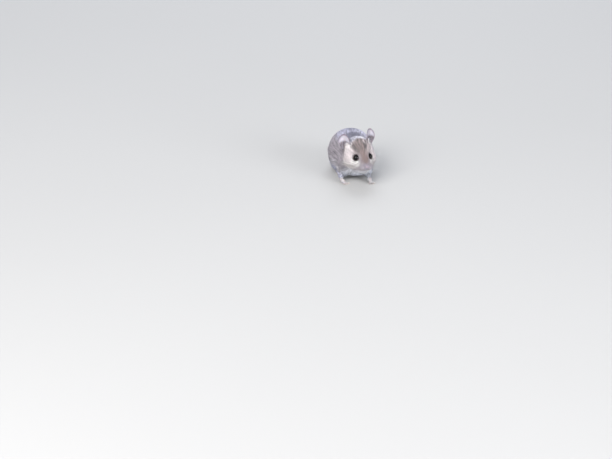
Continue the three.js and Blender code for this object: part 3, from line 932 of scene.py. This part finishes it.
# ---- eyes, lids, nose, claws and whiskers ----


def turnedTo(direction, up=Vector((0, 0, 1))):  # a matrix whose Z looks along direction
    z = direction.normalized()
    x = up.cross(z).normalized()
    return Matrix((x, z.cross(x), z)).transposed().to_4x4()


def makeEye(side):
    s = dict(rings=40, cornea=0.05, tint=tinted(30, 20, 16), deep=tinted(8, 6, 7), pupil=0.55, irisEdge=1.2)
    bm = bmesh.new()
    bmesh.ops.create_uvsphere(bm, u_segments=2 * s["rings"], v_segments=s["rings"], radius=eyeRadius)
    for v in bm.verts:  # the cornea stands a little proud
        v.co.z += s["cornea"] * eyeRadius * rising(v.co.z / eyeRadius, 0.55, 1.0)
    bm.transform(Matrix.Translation(eyePlace[side]) @ turnedTo(gaze[side]))
    eye = fromBmesh(f"eyeball_{side}", bm)
    material, tree, shader, place = startMaterial(f"wetEye_{side}", {
        "Roughness": 0.08, "Specular IOR Level": 0.15, "Coat Weight": 0.34, "Coat Roughness": 0.015,
        "Coat IOR": 1.35})
    reach = vectors(tree, "DISTANCE", place, eyePlace[side] + gaze[side] * eyeRadius)
    iris = ranged(tree, reach, s["pupil"] * eyeRadius, s["irisEdge"] * eyeRadius)
    fibres = noiseOf(tree, place, 2600.0, 4.0, 0.65)
    iris = times(tree, iris, ranged(tree, fibres, 0.3, 0.75, 0.35, 1.0))
    tree.links.new(mixTint(tree, iris, s["deep"], s["tint"]), shader.inputs["Base Color"])
    eye.data.materials.append(material)
    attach(eye, "root")
    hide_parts(f"eye_{side}")


def lidSkinMaterial():
    material, tree, shader, place = startMaterial("lidSkin", {
        "Specular IOR Level": 0.5, "Coat Weight": 0.25, "Coat Roughness": 0.2})
    creased = noiseOf(tree, place, 6500.0, 4.0, 0.6)
    tint = mixTint(tree, ranged(tree, creased, 0.35, 0.7), tinted(34, 27, 27), tinted(74, 58, 57))
    tree.links.new(tint, shader.inputs["Base Color"])
    tree.links.new(ranged(tree, creased, 0.3, 0.7, 0.32, 0.55), shader.inputs["Roughness"])
    bumped(tree, shader, creased, 0.4, 0.00005)
    return material


def makeLids(side, material):
    s = dict(round=72, thick=0.15, profile=8, outside=0.06, wider=2.0)  # mm, and degrees past the opening
    bm = bmesh.new()
    ring = bmesh.ops.create_circle(bm, segments=s["profile"], radius=s["thick"] * mm)["verts"]
    bmesh.ops.rotate(bm, verts=ring, cent=(0, 0, 0), matrix=Matrix.Rotation(math.pi / 2, 3, "X"))
    bmesh.ops.translate(bm, verts=ring, vec=(eyeRadius, 0, 0))
    bmesh.ops.spin(bm, geom=ring + list(bm.edges), cent=(0, 0, 0), axis=(0, 0, 1), dvec=(0, 0, 0),
                   angle=2 * math.pi, steps=s["round"], use_merge=True, use_duplicate=False)
    bmesh.ops.remove_doubles(bm, verts=bm.verts, dist=1e-7)
    along, look = eyeAxes(side)
    axes = Matrix((along, look.cross(along), look)).transposed()
    for v in bm.verts:  # from a plain ring to the eye's own opening, laid on the ball
        turn = math.atan2(v.co.y, v.co.x)
        reach = math.hypot(v.co.x, v.co.y) + s["outside"] * mm
        angle = math.radians(openingAt(turn) + s["wider"]) - v.co.z / eyeRadius
        wide = math.sin(angle)
        onBall = Vector((math.cos(turn) * wide, math.sin(turn) * wide, math.cos(angle)))
        v.co = eyePlace[side] + axes @ onBall * reach
    bmesh.ops.recalc_face_normals(bm, faces=bm.faces)
    lids = fromBmesh(f"lids_{side}", bm)
    lids.data.materials.append(material)
    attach(lids, "root")


lidSkin = lidSkinMaterial()
for side in sideSign:
    makeEye(side)
    makeLids(side, lidSkin)
print("eyes and lids are in")


def makeNose():
    s = dict(halfSize=(0.95, 1.02, 0.78), sunk=0.15, above=0.10, below=0.22,  # wider above, narrower below
             cleft=0.16, cleftWide=0.13, nostril=(0.80, 0.50, -0.12), nostrilSize=0.36, nostrilDeep=0.42,
             pad=tinted(128, 116, 126), padPale=tinted(150, 138, 146), pebble=tinted(96, 78, 88))
    bm = bmesh.new()
    bmesh.ops.create_icosphere(bm, subdivisions=5, radius=1.0)
    for v in bm.verts:
        front, left, up = v.co
        left *= 1.0 + s["above"] * max(0, up) - s["below"] * max(0, -up)
        cleft = math.exp(-(left / s["cleftWide"]) ** 2) * s["cleft"]
        front -= cleft * float(rising(front, 0.1, 0.7)) * float(rising(-up, -0.5, 0.3))
        for sign in sideSign.values():
            gap = math.dist((front, left, up), (s["nostril"][0], sign * s["nostril"][1], s["nostril"][2]))
            press = max(0.0, 1 - (gap / s["nostrilSize"]) ** 2) ** 2 * s["nostrilDeep"]
            front -= press * 0.8
            left -= press * sign * 0.25
        v.co = Vector([a * b for a, b in zip((front, left, up), s["halfSize"])]) * mm
    bm.transform(Matrix.Translation(nosePlace - headForward * s["sunk"] * mm) @ headAxes.to_4x4())
    nose = fromBmesh("nosePad", bm)
    material, tree, shader, place = startMaterial("noseSkin", {
        "Specular IOR Level": 0.55, "Coat Weight": 0.4, "Coat Roughness": 0.15, "Subsurface Weight": 0.1,
        "Subsurface Scale": 0.0003})
    pebbles = put(tree, "TexVoronoi", {"Vector": place, "Scale": 6200.0}, feature="SMOOTH_F1")
    pebbles = pebbles.outputs["Distance"]
    mottle = noiseOf(tree, place, 1500.0, 3.0)
    tint = mixTint(tree, ranged(tree, mottle, 0.35, 0.65), s["pad"], s["padPale"])
    tint = mixTint(tree, ranged(tree, pebbles, 0.1, 0.7, 0.0, 0.35), tint, s["pebble"])
    tree.links.new(tint, shader.inputs["Base Color"])
    tree.links.new(ranged(tree, mottle, 0.3, 0.7, 0.28, 0.45), shader.inputs["Roughness"])
    bumped(tree, shader, pebbles, 0.5, 0.00006, invert=True)
    nose.data.materials.append(material)
    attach(nose, "root")
    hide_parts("nose")


makeNose()


def strandMesh(name, stations, sideways, upward, widths, thickness):
    # Closed three-sided locks of hair. stations holds each one's rings and tip, root first.
    count, rings = stations.shape[0], stations.shape[1] - 1
    perStrand = rings * 3 + 1
    body, across, above = stations[:, :rings], sideways[:, :rings], upward[:, :rings]
    half = widths[:, :rings, None] / 2
    low = body - above * half * thickness * 0.5
    ridge = body + above * half * thickness * 1.5
    corners = np.stack([low - across * half, ridge, low + across * half], axis=2)
    points = np.concatenate([corners.reshape(count, rings * 3, 3), stations[:, -1:]], axis=1).reshape(-1, 3)
    points[:, 2] = np.maximum(points[:, 2], 0.01 * mm)

    # one lock's faces: the root's end, the sides between its rings, and the sides of its tip
    faces = [[2, 1, 0]]
    for k in range(0, 3 * (rings - 1), 3):
        faces += [[k + j, k + (j + 1) % 3, k + 3 + (j + 1) % 3, k + 3 + j] for j in range(3)]
    k = 3 * (rings - 1)
    faces += [[k + j, k + (j + 1) % 3, k + 3] for j in range(3)]
    corner = np.concatenate(faces)
    starts = np.cumsum([0] + [len(face) for face in faces[:-1]])
    each = np.arange(count)[:, None]
    order = (corner[None] + each * perStrand).ravel().astype(np.int32)
    begins = (starts[None] + each * len(corner)).ravel().astype(np.int32)

    mesh = bpy.data.meshes.new(name)
    mesh.vertices.add(len(points))
    mesh.vertices.foreach_set("co", points.ravel())
    mesh.loops.add(len(order))
    mesh.loops.foreach_set("vertex_index", order)
    mesh.polygons.add(len(begins))
    mesh.polygons.foreach_set("loop_start", begins)
    mesh.polygons.foreach_set("use_smooth", np.ones(len(begins), dtype=bool))
    mesh.update(calc_edges=True)
    tips = np.concatenate([np.repeat(np.arange(rings) / rings, 3), [1.0]])
    giveValues(mesh, "hairTip", np.tile(tips, count))
    return mesh, order % perStrand, order // perStrand, perStrand


# ---- which way the coat lies ----

skinPoints, skinNormals = pointsOf(skinMesh), normalsOf(skinMesh)


def wristOf(side):
    low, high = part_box(f"forefoot_{side}")
    return np.array(((low.x + high.x) / 2, high.y, 0.002))


lieSet = dict(  # how much each way counts in the lie of the hair
    fall=0.22, rumpFall=0.75, hindleg=(0.75, 0.7), neck=(0.9, 0.6), head=(1.2, 0.6, 0.12),
    wristNear=3.5, wristFar=8, forearm=0.15, upperArm=0.85,  # mm from the wrist, and how far it lies back
    eyeNear=0.2, eyeFar=2.2, eyeBehind=2, parting=0.45,  # mm from the eye's opening
)


def lieOfCoat():
    s = lieSet
    points, normals, parts = skinPoints, skinNormals, skinPart
    back, down = np.array((0, 1.0, 0)), np.array((0, 0, -1.0))
    fromNose = unitRows(points - np.array(nosePlace))
    low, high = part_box("trunk")
    flow = np.tile(back, (len(points), 1))
    flow += down * (s["fall"] + s["rumpFall"] * rising(points[:, 1], low.y, high.y)[:, None])
    flow[isPart(parts, "hindleg")] = back * s["hindleg"][0] + down * s["hindleg"][1]
    own = isPart(parts, "neck")
    flow[own] = back * s["neck"][0] + fromNose[own] * s["neck"][1]
    own = isPart(parts, "head")
    away, behind, under = s["head"]
    flow[own] = fromNose[own] * away - np.array(headForward) * behind + down * under
    for side in sideSign:
        flow[isPart(parts, "ear") & onSide(points, side)] = np.array(earAxes(side)[1])
        own = isPart(parts, "foreleg") & onSide(points, side)
        toWrist = wristOf(side) - points[own]
        upper = rising(np.linalg.norm(toWrist, axis=1), s["wristNear"] * mm, s["wristFar"] * mm)[:, None]
        flow[own] = unitRows(toWrist) + back * (s["forearm"] + s["upperArm"] * upper)
    flow[isPart(parts, "forefoot", "hindfoot")] = np.array((0, -1.0, -0.1))
    own = isPart(parts, "tail")
    flow[own] = tailPlaces(points[own])[1]
    flow = unitRows(flow - normals * rowDot(flow, normals)[:, None])
    flow = web.eased(flow, 24)
    for side in sideSign:  # the hair parts round the eyes
        front, aside, edge = eyePlaces(points, side)[:3]
        away = unitRows(points - np.array(eyePlace[side]) - np.array(gaze[side]) * front[:, None])
        share = rising(aside, edge + s["eyeFar"] * mm, edge + s["eyeNear"] * mm)
        share = (share * (front > -s["eyeBehind"] * mm))[:, None]
        toward = np.minimum(rowDot(unitRows(flow), away), 0)[:, None]
        flow = unitRows(flow) - away * toward * share + away * s["parting"] * share
    flow = web.eased(flow, 3)
    return unitRows(flow - normals * rowDot(flow, normals)[:, None])


lie = lieOfCoat()
skinMesh.calc_loop_triangles()
triangles = readRows(skinMesh.loop_triangles, "vertices", 3, np.int32)
cornerA, cornerB, cornerC = (skinPoints[triangles[:, i]] for i in range(3))
triArea = np.linalg.norm(np.cross(cornerB - cornerA, cornerC - cornerA), axis=1) / 2 / mm ** 2
triNormal = unitRows(skinNormals[triangles].mean(axis=1))
triLie = unitRows(lie[triangles].mean(axis=1))
skinTree = BVHTree.FromPolygons(skinPoints.tolist(), triangles.tolist())
print("lie of the coat is worked out")

# ---- whiskers and claws ----


def skinPlace(place):  # the nearest place on the skin, and the way it faces there
    hit = skinTree.find_nearest(place)
    return np.array(hit[0]), triNormal[hit[2]]


def makeWhiskers():
    s = dict(rows=4, columns=5, thick=0.075, shortest=4.0, longest=13.5, droop=0.20, steps=7,
             brows=((6.6, 3.7, 3.4, 6.5), (5.4, 4.6, 3.9, 5.2), (1.0, 8.6, -2.0, 5.0)),  # place and length
             root=tinted(70, 62, 62), tip=tinted(226, 222, 222), fleck=tinted(120, 112, 112))
    starts, ways, lengths = [], [], []
    for sign in sideSign.values():
        for row in range(s["rows"]):
            for column in range(s["columns"]):
                t = column / (s["columns"] - 1)
                pad = onHead(10.0 - 3.0 * t - 0.25 * row, sign * (2.3 + 1.5 * t), -2.0 - 0.72 * row)
                place, out = skinPlace(pad)
                way = headForward * (0.25 - 1.15 * t) + headLeft * sign * 0.8 + headUp * (0.36 - 0.22 * row)
                long = blendOf(t, s["shortest"], s["longest"]) * dice.uniform(0.85, 1.08)
                starts.append(place)
                ways.append(np.array(way.normalized()) + out * 0.2)
                lengths.append(long * (1 - 0.10 * row))
        for forward, left, up, length in s["brows"]:
            place, out = skinPlace(onHead(forward, sign * left, up))
            starts.append(place)
            ways.append(out * 0.7 + np.array(headUp) * 0.5 - np.array(headForward) * 0.25)
            lengths.append(length)
    starts, ways, lengths = np.array(starts), unitRows(np.array(ways)), np.array(lengths)[:, None] * mm
    share = np.linspace(0, 1, s["steps"] + 1)
    sag = np.array((0, 0.55, -1.0)) * s["droop"]
    stations = [starts + ways * lengths * (t - 0.02) + sag * lengths * t ** 2.2 for t in share]
    stations = np.stack(stations, axis=1)
    along = np.gradient(stations, axis=1)
    along /= np.linalg.norm(along, axis=2, keepdims=True)
    sideways = np.cross(along, np.array((0, 0, 1.0)))
    sideways /= np.linalg.norm(sideways, axis=2, keepdims=True)
    widths = np.repeat(s["thick"] * mm * (1 - share * 0.8)[None], len(starts), axis=0)
    mesh = strandMesh("whiskers", stations, sideways, np.cross(sideways, along), widths, 1.0)[0]
    material, tree, shader, place = startMaterial("whiskerHair", {"Roughness": 0.35})
    tint = mixTint(tree, ranged(tree, attributeOf(tree, "hairTip"), 0.15, 0.75), s["root"], s["tip"])
    fleck = noiseOf(tree, place, 1400.0, 2.0)
    tint = mixTint(tree, ranged(tree, fleck, 0.4, 0.7, 0.0, 0.3), tint, s["fleck"])
    tree.links.new(tint, shader.inputs["Base Color"])
    mesh.materials.append(material)
    whiskers = linkUp("whiskers", mesh)
    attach(whiskers, "root")


def makeClaws():
    s = dict(length=0.85, thick=0.17, tip=0.08, round=10, steps=5, curl=0.38, flat=0.75,
             inside=0.30, high=0.52, lowest=0.02)
    long, thick = s["length"] * mm, s["thick"] * mm
    horn = {"Specular IOR Level": 0.5, "Coat Weight": 0.2}
    material, tree, shader, place = startMaterial("clawHorn", horn)
    streak = noiseOf(tree, place, 5200.0, 3.0)
    tint = mixTint(tree, ranged(tree, streak, 0.3, 0.7), tinted(196, 176, 160), tinted(232, 220, 206))
    tree.links.new(tint, shader.inputs["Base Color"])
    tree.links.new(ranged(tree, streak, 0.3, 0.7, 0.3, 0.45), shader.inputs["Roughness"])
    for name, f in feet.items():
        foot = mergedNode(name)
        points = np.array([v.co[:] for v in foot.verts])
        foot.free()
        claws = bmesh.new()
        for angle in f["fan"]:
            away = Vector((*f["heading"], 0)).normalized()
            away.rotate(Euler((0, 0, math.radians(angle))))
            flat = points - np.array(Vector((*f["palm"], 0)) * mm)
            aside = np.abs(np.cross(flat, np.array(away))[:, 2])
            tip = points[np.where(aside < s["inside"] * mm, flat @ np.array(away), -1).argmax()]
            bm = bmesh.new()
            bmesh.ops.create_cone(bm, segments=s["round"], radius1=thick, radius2=thick * s["tip"],
                                  depth=long, cap_ends=True, cap_tris=True)
            lengthways = [e for e in bm.edges if abs(e.verts[0].co.z - e.verts[1].co.z) > 0.5 * long]
            bmesh.ops.subdivide_edges(bm, edges=lengthways, cuts=s["steps"])
            for v in bm.verts:  # from a straight cone along Z to a hooked one along X
                t = v.co.z / long + 0.5
                v.co = Vector((t * long, v.co.x * s["flat"], v.co.y - s["curl"] * t ** 2 * mm))
            bm.transform(Matrix.Rotation(math.atan2(away.y, away.x), 4, "Z"))
            root = Vector((tip[0], tip[1], s["high"] * mm)) - away * s["inside"] * mm
            bm.transform(Matrix.Translation(root))
            for v in bm.verts:
                v.co.z = max(v.co.z, s["lowest"] * mm)
            joinInto(claws, bm)
        bmesh.ops.recalc_face_normals(claws, faces=claws.faces)
        piece = fromBmesh(name.replace("foot", "claws"), claws)
        piece.data.materials.append(material)
        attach(piece, "root")


makeWhiskers()
makeClaws()
print("whiskers and claws are in")

# ---- the coat ----

tuftSet = dict(
    lengths=(0.72, 1.25), widths=(0.65, 1.25), rises=(0.72, 1.08),  # shares of the coat's own numbers
    guard=0.07, guardLength=1.15, guardRise=1.10, guardWidth=0.75,  # a few longer and thinner hairs
    sway=0.13, roll=0.35, flat=0.42,
    locks=9, lockBody=0.20, lockHead=0.11,  # tufts to a lock, and how far they lean in to its middle
    shares=(0.0, 0.34, 0.68, 1.0), heights=(0.0, 0.62, 0.98, 0.90), wide=(0.70, 1.0, 0.80, 0.0),
    kept=(0, 2, 3),  # two rings and the tip are enough once the way is walked
    root=0.12, lowest=0.03, bareEye=0.26, bareNose=0.92, inEar=0.4,
)


def coatRoots():  # how many tufts stand on each triangle of the skin, and where on it
    s = tuftSet
    bare = np.linalg.norm(skinPoints - np.array(nosePlace), axis=1) < s["bareNose"] * mm
    for side in sideSign:
        front, aside, edge = eyePlaces(skinPoints, side)[:3]
        bare |= (front > -lidSet["behind"] * mm) & (aside < edge + s["bareEye"] * mm)
    bare |= isPart(skinPart, "forefoot", "hindfoot") & (skinNormals[:, 2] < -0.2)  # the soles
    crowd = np.where(bare[triangles].any(axis=1), 0, coatNumber[triangles, 3].mean(axis=1))
    for side in sideSign:  # the inside of the ear has only a little down
        inside = isPart(skinPart, "ear") & onSide(skinPoints, side)
        inside &= skinNormals @ np.array(earAxes(side)[2]) > 0.2
        crowd = np.where(inside[triangles].any(axis=1), crowd * s["inEar"], crowd)
    wanted = crowd * triArea
    number = np.floor(wanted + dice.random(len(wanted))).astype(int)
    tri = np.repeat(np.arange(len(triangles)), number)
    a, b = dice.random(len(tri)), dice.random(len(tri))
    fold = a + b > 1
    a[fold], b[fold] = 1 - a[fold], 1 - b[fold]
    return tri, np.stack([1 - a - b, a, b], axis=1)


def overTriangles(values, tri, weights):
    return (values[triangles[tri]] * (weights[:, :, None] if values.ndim > 1 else weights)).sum(axis=1)


def layTufts():
    s = tuftSet
    tri, weights = coatRoots()
    count = len(tri)
    given = (skinPoints, coatNumber, skinNormals, lie)
    roots, numbers, up, aim = (overTriangles(values, tri, weights) for values in given)
    up, aim = unitRows(up), unitRows(aim)
    parts = skinPart[triangles[tri, 0]]
    depth, length, width = (numbers[:, :3] * mm).T
    length = length * dice.uniform(*s["lengths"], count)
    width = width * dice.uniform(*s["widths"], count)
    rise = np.maximum(depth * dice.uniform(*s["rises"], count), width * 0.5)
    guard = dice.random(count) < s["guard"]
    length, rise, width = (np.where(guard, a * by, a) for a, by in (
        (length, s["guardLength"]), (rise, s["guardRise"]), (width, s["guardWidth"])))
    aim = unitRows(aim + np.cross(aim, up) * dice.normal(0, s["sway"], count)[:, None])

    # locks: each tuft leans in to the nearest lock's own middle
    middles = dice.choice(count, count // s["locks"], replace=False)
    tree = treeOf(roots[middles])
    lock = middles[[tree.find(p)[1] for p in roots]]
    lean = roots[lock] - roots
    lean -= aim * rowDot(lean, aim)[:, None] * 0.7
    gather = np.where(isPart(parts, "head"), s["lockHead"], s["lockBody"])
    lean *= np.minimum(1, gather * length / np.maximum(np.linalg.norm(lean, axis=1), 1e-9))[:, None]

    # each tuft walks over the skin from its root, turning with the lie of the coat
    base, out = roots, up
    stations, sideways, upward = [], [], []
    for k, share in enumerate(s["shares"]):
        if k:
            base = base + aim * (length * (share - s["shares"][k - 1]))[:, None]
            hits = [skinTree.find_nearest(p) for p in base]
            base = np.array([h[0][:] for h in hits])
            near = np.array([h[2] for h in hits])
            out = triNormal[near]
            turned = unitRows(triLie[near] * 0.6 + aim * 0.4)
            aim = unitRows(turned - out * rowDot(turned, out)[:, None])
        height = rise * s["heights"][k] if k else -np.minimum(s["root"] * mm, width * 0.6)
        stations.append(base + out * height[:, None] + lean * share ** 1.4)
        sideways.append(np.cross(aim, out))
        upward.append(out)
    stations, sideways, upward = (np.stack(a, axis=1)[:, s["kept"]] for a in (stations, sideways, upward))
    stations[:, :, 2] = np.maximum(stations[:, :, 2], s["lowest"] * mm)
    widths = (width[:, None] * np.array(s["wide"]))[:, s["kept"]]
    roll = dice.normal(0, s["roll"], count)[:, None, None]
    sideways, upward = (sideways * np.cos(roll) + upward * np.sin(roll),
                        upward * np.cos(roll) - sideways * np.sin(roll))
    return parts, roots, up, stations, sideways, upward, widths


tuftPart, tuftRoot, tuftUp, stations, sideways, upward, widths = layTufts()
print("tufts:", len(tuftRoot))

coatPieces = dict(  # each piece's kind of hair and its slot
    coat_back=("long", "grey_coat"), coat_shoulders=("long", "grey_coat"), coat_rump=("long", "grey_coat"),
    coat_flank_left=("long", "grey_coat"), coat_flank_right=("long", "grey_coat"),
    coat_belly=("long", "grey_coat"), coat_breast=("long", "grey_coat"),
    coat_haunch_left=("long", "grey_coat"), coat_haunch_right=("long", "grey_coat"),
    coat_crown=("face", "face_coat"), coat_cheek_left=("face", "face_coat"),
    coat_cheek_right=("face", "face_coat"), coat_muzzle=("face", "face_coat"),
    coat_forelegs=("face", "pale_coat"), coat_ears=("ear", "ear_skin"), coat_feet=("foot", "foot_skin"),
    coat_tail=("tail", "tail_skin"),
)
coatSplit = dict(middle=2.2, fore=3.5, top=0.55, under=0.45, rear=0.62, muzzle=6.0, crown=3.2)


def pieceAt(points, normals, parts):  # which coat piece a place belongs to, as its number in coatPieces
    s = coatSplit
    number = {name.removeprefix("coat_"): i for i, name in enumerate(coatPieces)}

    def either(test, yes, no):
        yes, no = (number[name] if isinstance(name, str) else name for name in (yes, no))
        return np.where(test, yes, no)

    left = points[:, 0] > headMiddle.x - s["middle"] * mm
    fore = points[:, 1] < bodyMiddle.y - s["fore"] * mm
    forward, leftward, high = headPlaces(points).T
    choice = either(left, "flank_left", "flank_right")
    choice = either(normals[:, 2] > s["top"], either(fore, "shoulders", "back"), choice)
    choice = either(normals[:, 2] < -s["under"], either(fore, "breast", "belly"), choice)
    choice = either(normals[:, 1] > s["rear"], "rump", choice)
    choice = either(isPart(parts, "hindleg"), either(left, "haunch_left", "haunch_right"), choice)
    face = either(high > s["crown"], "crown", either(leftward > 0, "cheek_left", "cheek_right"))
    choice = either(isPart(parts, "head"), either(forward > s["muzzle"], "muzzle", face), choice)
    choice = either(isPart(parts, "foreleg"), "forelegs", choice)
    choice = either(isPart(parts, "ear"), "ears", choice)
    choice = either(isPart(parts, "forefoot", "hindfoot"), "feet", choice)
    return either(isPart(parts, "tail"), "tail", choice)


def dressCoat(name, tintShare, rootTint, tipTint, tipShare):
    material, tree, shader, place = startMaterial(name, {
        "Specular IOR Level": 0.35, "Sheen Weight": 0.25, "Sheen Roughness": 0.35,
        "Sheen Tint": (0.85, 0.88, 1, 1)})
    tip = attributeOf(tree, "hairTip")
    color = useGroup(tree, markings, "Color", Place=place)
    color = mixTint(tree, 1 - tintShare, color, tipTint)
    color = mixTint(tree, ranged(tree, tip, 0.05, 0.75, 0.75, 0.0), color, rootTint)
    color = mixTint(tree, times(tree, ranged(tree, tip, 0.7, 1.0), tipShare), color, tipTint)
    shade = ranged(tree, attributeOf(tree, "hairTone"), 0.0, 1.0, 0.74, 1.20, smooth=False)
    grain = useGroup(tree, hairGrain, "Height", Place=place, Fine=1.6)
    shade = times(tree, shade, ranged(tree, grain, 0.3, 0.7, 0.85, 1.12))
    tree.links.new(vectors(tree, "SCALE", color, scale=shade), shader.inputs["Base Color"])
    tree.links.new(ranged(tree, grain, 0.3, 0.7, 0.45, 0.65), shader.inputs["Roughness"])
    return material


coatMaterials = dict(
    long=dressCoat("longCoat", 1.0, tinted(112, 108, 118), tinted(224, 222, 232), 0.25),
    face=dressCoat("faceCoat", 1.0, tinted(140, 130, 130), tinted(236, 230, 228), 0.2),
    ear=dressCoat("earDown", 0.25, tinted(134, 126, 133), tinted(170, 162, 172), 0.3),
    foot=dressCoat("footDown", 0.1, tinted(176, 166, 164), tinted(208, 203, 204), 0.4),
    tail=dressCoat("tailBristles", 0.2, tinted(86, 76, 76), tinted(120, 108, 108), 0.3),
)
mapSet = dict(light=0.09, turn=66, margin=0.006, patch=0.003, patchWide=0.4)


def lightSkin():  # a light copy of the skin, whose map says where each root lies
    light = linkUp("lightSkin", skinMesh.copy())
    light.modifiers.new("thin", "DECIMATE").ratio = mapSet["light"]
    return finished(light)


def unwrapped(light, own):  # the faces of one coat piece, with their corners' places on its map
    bm = bmesh.new()
    bm.from_mesh(light)
    bm.faces.ensure_lookup_table()
    bmesh.ops.delete(bm, geom=[f for f in bm.faces if not own[f.index]], context="FACES")
    bmesh.ops.triangulate(bm, faces=bm.faces)
    patch = fromBmesh("patch", bm)
    bpy.context.view_layer.objects.active = patch
    bpy.ops.object.mode_set(mode="EDIT")
    bpy.ops.mesh.select_all(action="SELECT")
    bpy.ops.uv.smart_project(angle_limit=math.radians(mapSet["turn"]), island_margin=mapSet["margin"])
    bpy.ops.object.mode_set(mode="OBJECT")
    mesh = patch.data
    points, faces = pointsOf(mesh), readRows(mesh.loops, "vertex_index", 1, np.int32).reshape(-1, 3)
    uv = readRows(mesh.uv_layers.active.data, "uv", 2).reshape(-1, 3, 2)
    bpy.data.objects.remove(patch)
    return points, faces, uv


def rootMap(light, own, roots):
    points, faces, uv = unwrapped(light, own)
    tree = BVHTree.FromPolygons(points.tolist(), faces.tolist())
    hits = [tree.find_nearest(p) for p in roots]
    place, face = np.array([h[0][:] for h in hits]), np.array([h[2] for h in hits])
    a, b, c = (points[faces[face, i]] for i in range(3))
    ab, ac, ap = b - a, c - a, place - a  # the root's weights on its triangle's three corners
    bb, bc, cc, pb, pc = rowDot(ab, ab), rowDot(ab, ac), rowDot(ac, ac), rowDot(ap, ab), rowDot(ap, ac)
    whole = np.maximum(bb * cc - bc * bc, 1e-20)
    v, w = (cc * pb - bc * pc) / whole, (bb * pc - bc * pb) / whole
    share = np.clip(np.stack([1 - v - w, v, w], axis=1), 0, 1)
    return (uv[face] * share[:, :, None]).sum(axis=1)


def makeCoat():
    light = lightSkin()
    lightMiddles = np.array([f.center[:] for f in light.polygons])
    lightNormals = np.array([f.normal[:] for f in light.polygons])
    lightPart = skinPart[[triangles[skinTree.find_nearest(p)[2], 0] for p in lightMiddles]]
    lightPiece = pieceAt(lightMiddles, lightNormals, lightPart)
    tuftPiece = pieceAt(tuftRoot, tuftUp, tuftPart)
    tone = dice.beta(2.2, 2.2, len(tuftPiece))
    # one tuft's own patch of the map, from its root to its tip
    rings, wide = stations.shape[1] - 1, mapSet["patchWide"]
    across = np.append(np.tile((-wide, 0.0, wide), rings), 0.0) * mapSet["patch"]
    along = np.append(np.repeat(np.arange(rings) / rings, 3), 1.0) * mapSet["patch"]
    laid = 0
    for number, (name, (kind, slot)) in enumerate(coatPieces.items()):
        own = np.flatnonzero(tuftPiece == number)
        mesh, inStrand, strand, perStrand = strandMesh(
            name, stations[own], sideways[own], upward[own], widths[own], tuftSet["flat"])
        giveValues(mesh, "hairTone", np.repeat(tone[own], perStrand))
        spot = rootMap(light, lightPiece == number, tuftRoot[own])
        uv = np.clip(spot[strand] + np.stack([across[inStrand], along[inStrand]], axis=1), 0, 1)
        mesh.uv_layers.new(name="OFBake").data.foreach_set("uv", uv.ravel())
        mesh.materials.append(coatMaterials[kind])
        piece = linkUp(name, mesh)
        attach(piece, "root")
        laid += len(own) * (6 * (rings - 1) + 4)
        print(name, len(own), "tufts")
    print("triangles in the coat:", laid)


makeCoat()
print("coat is laid")
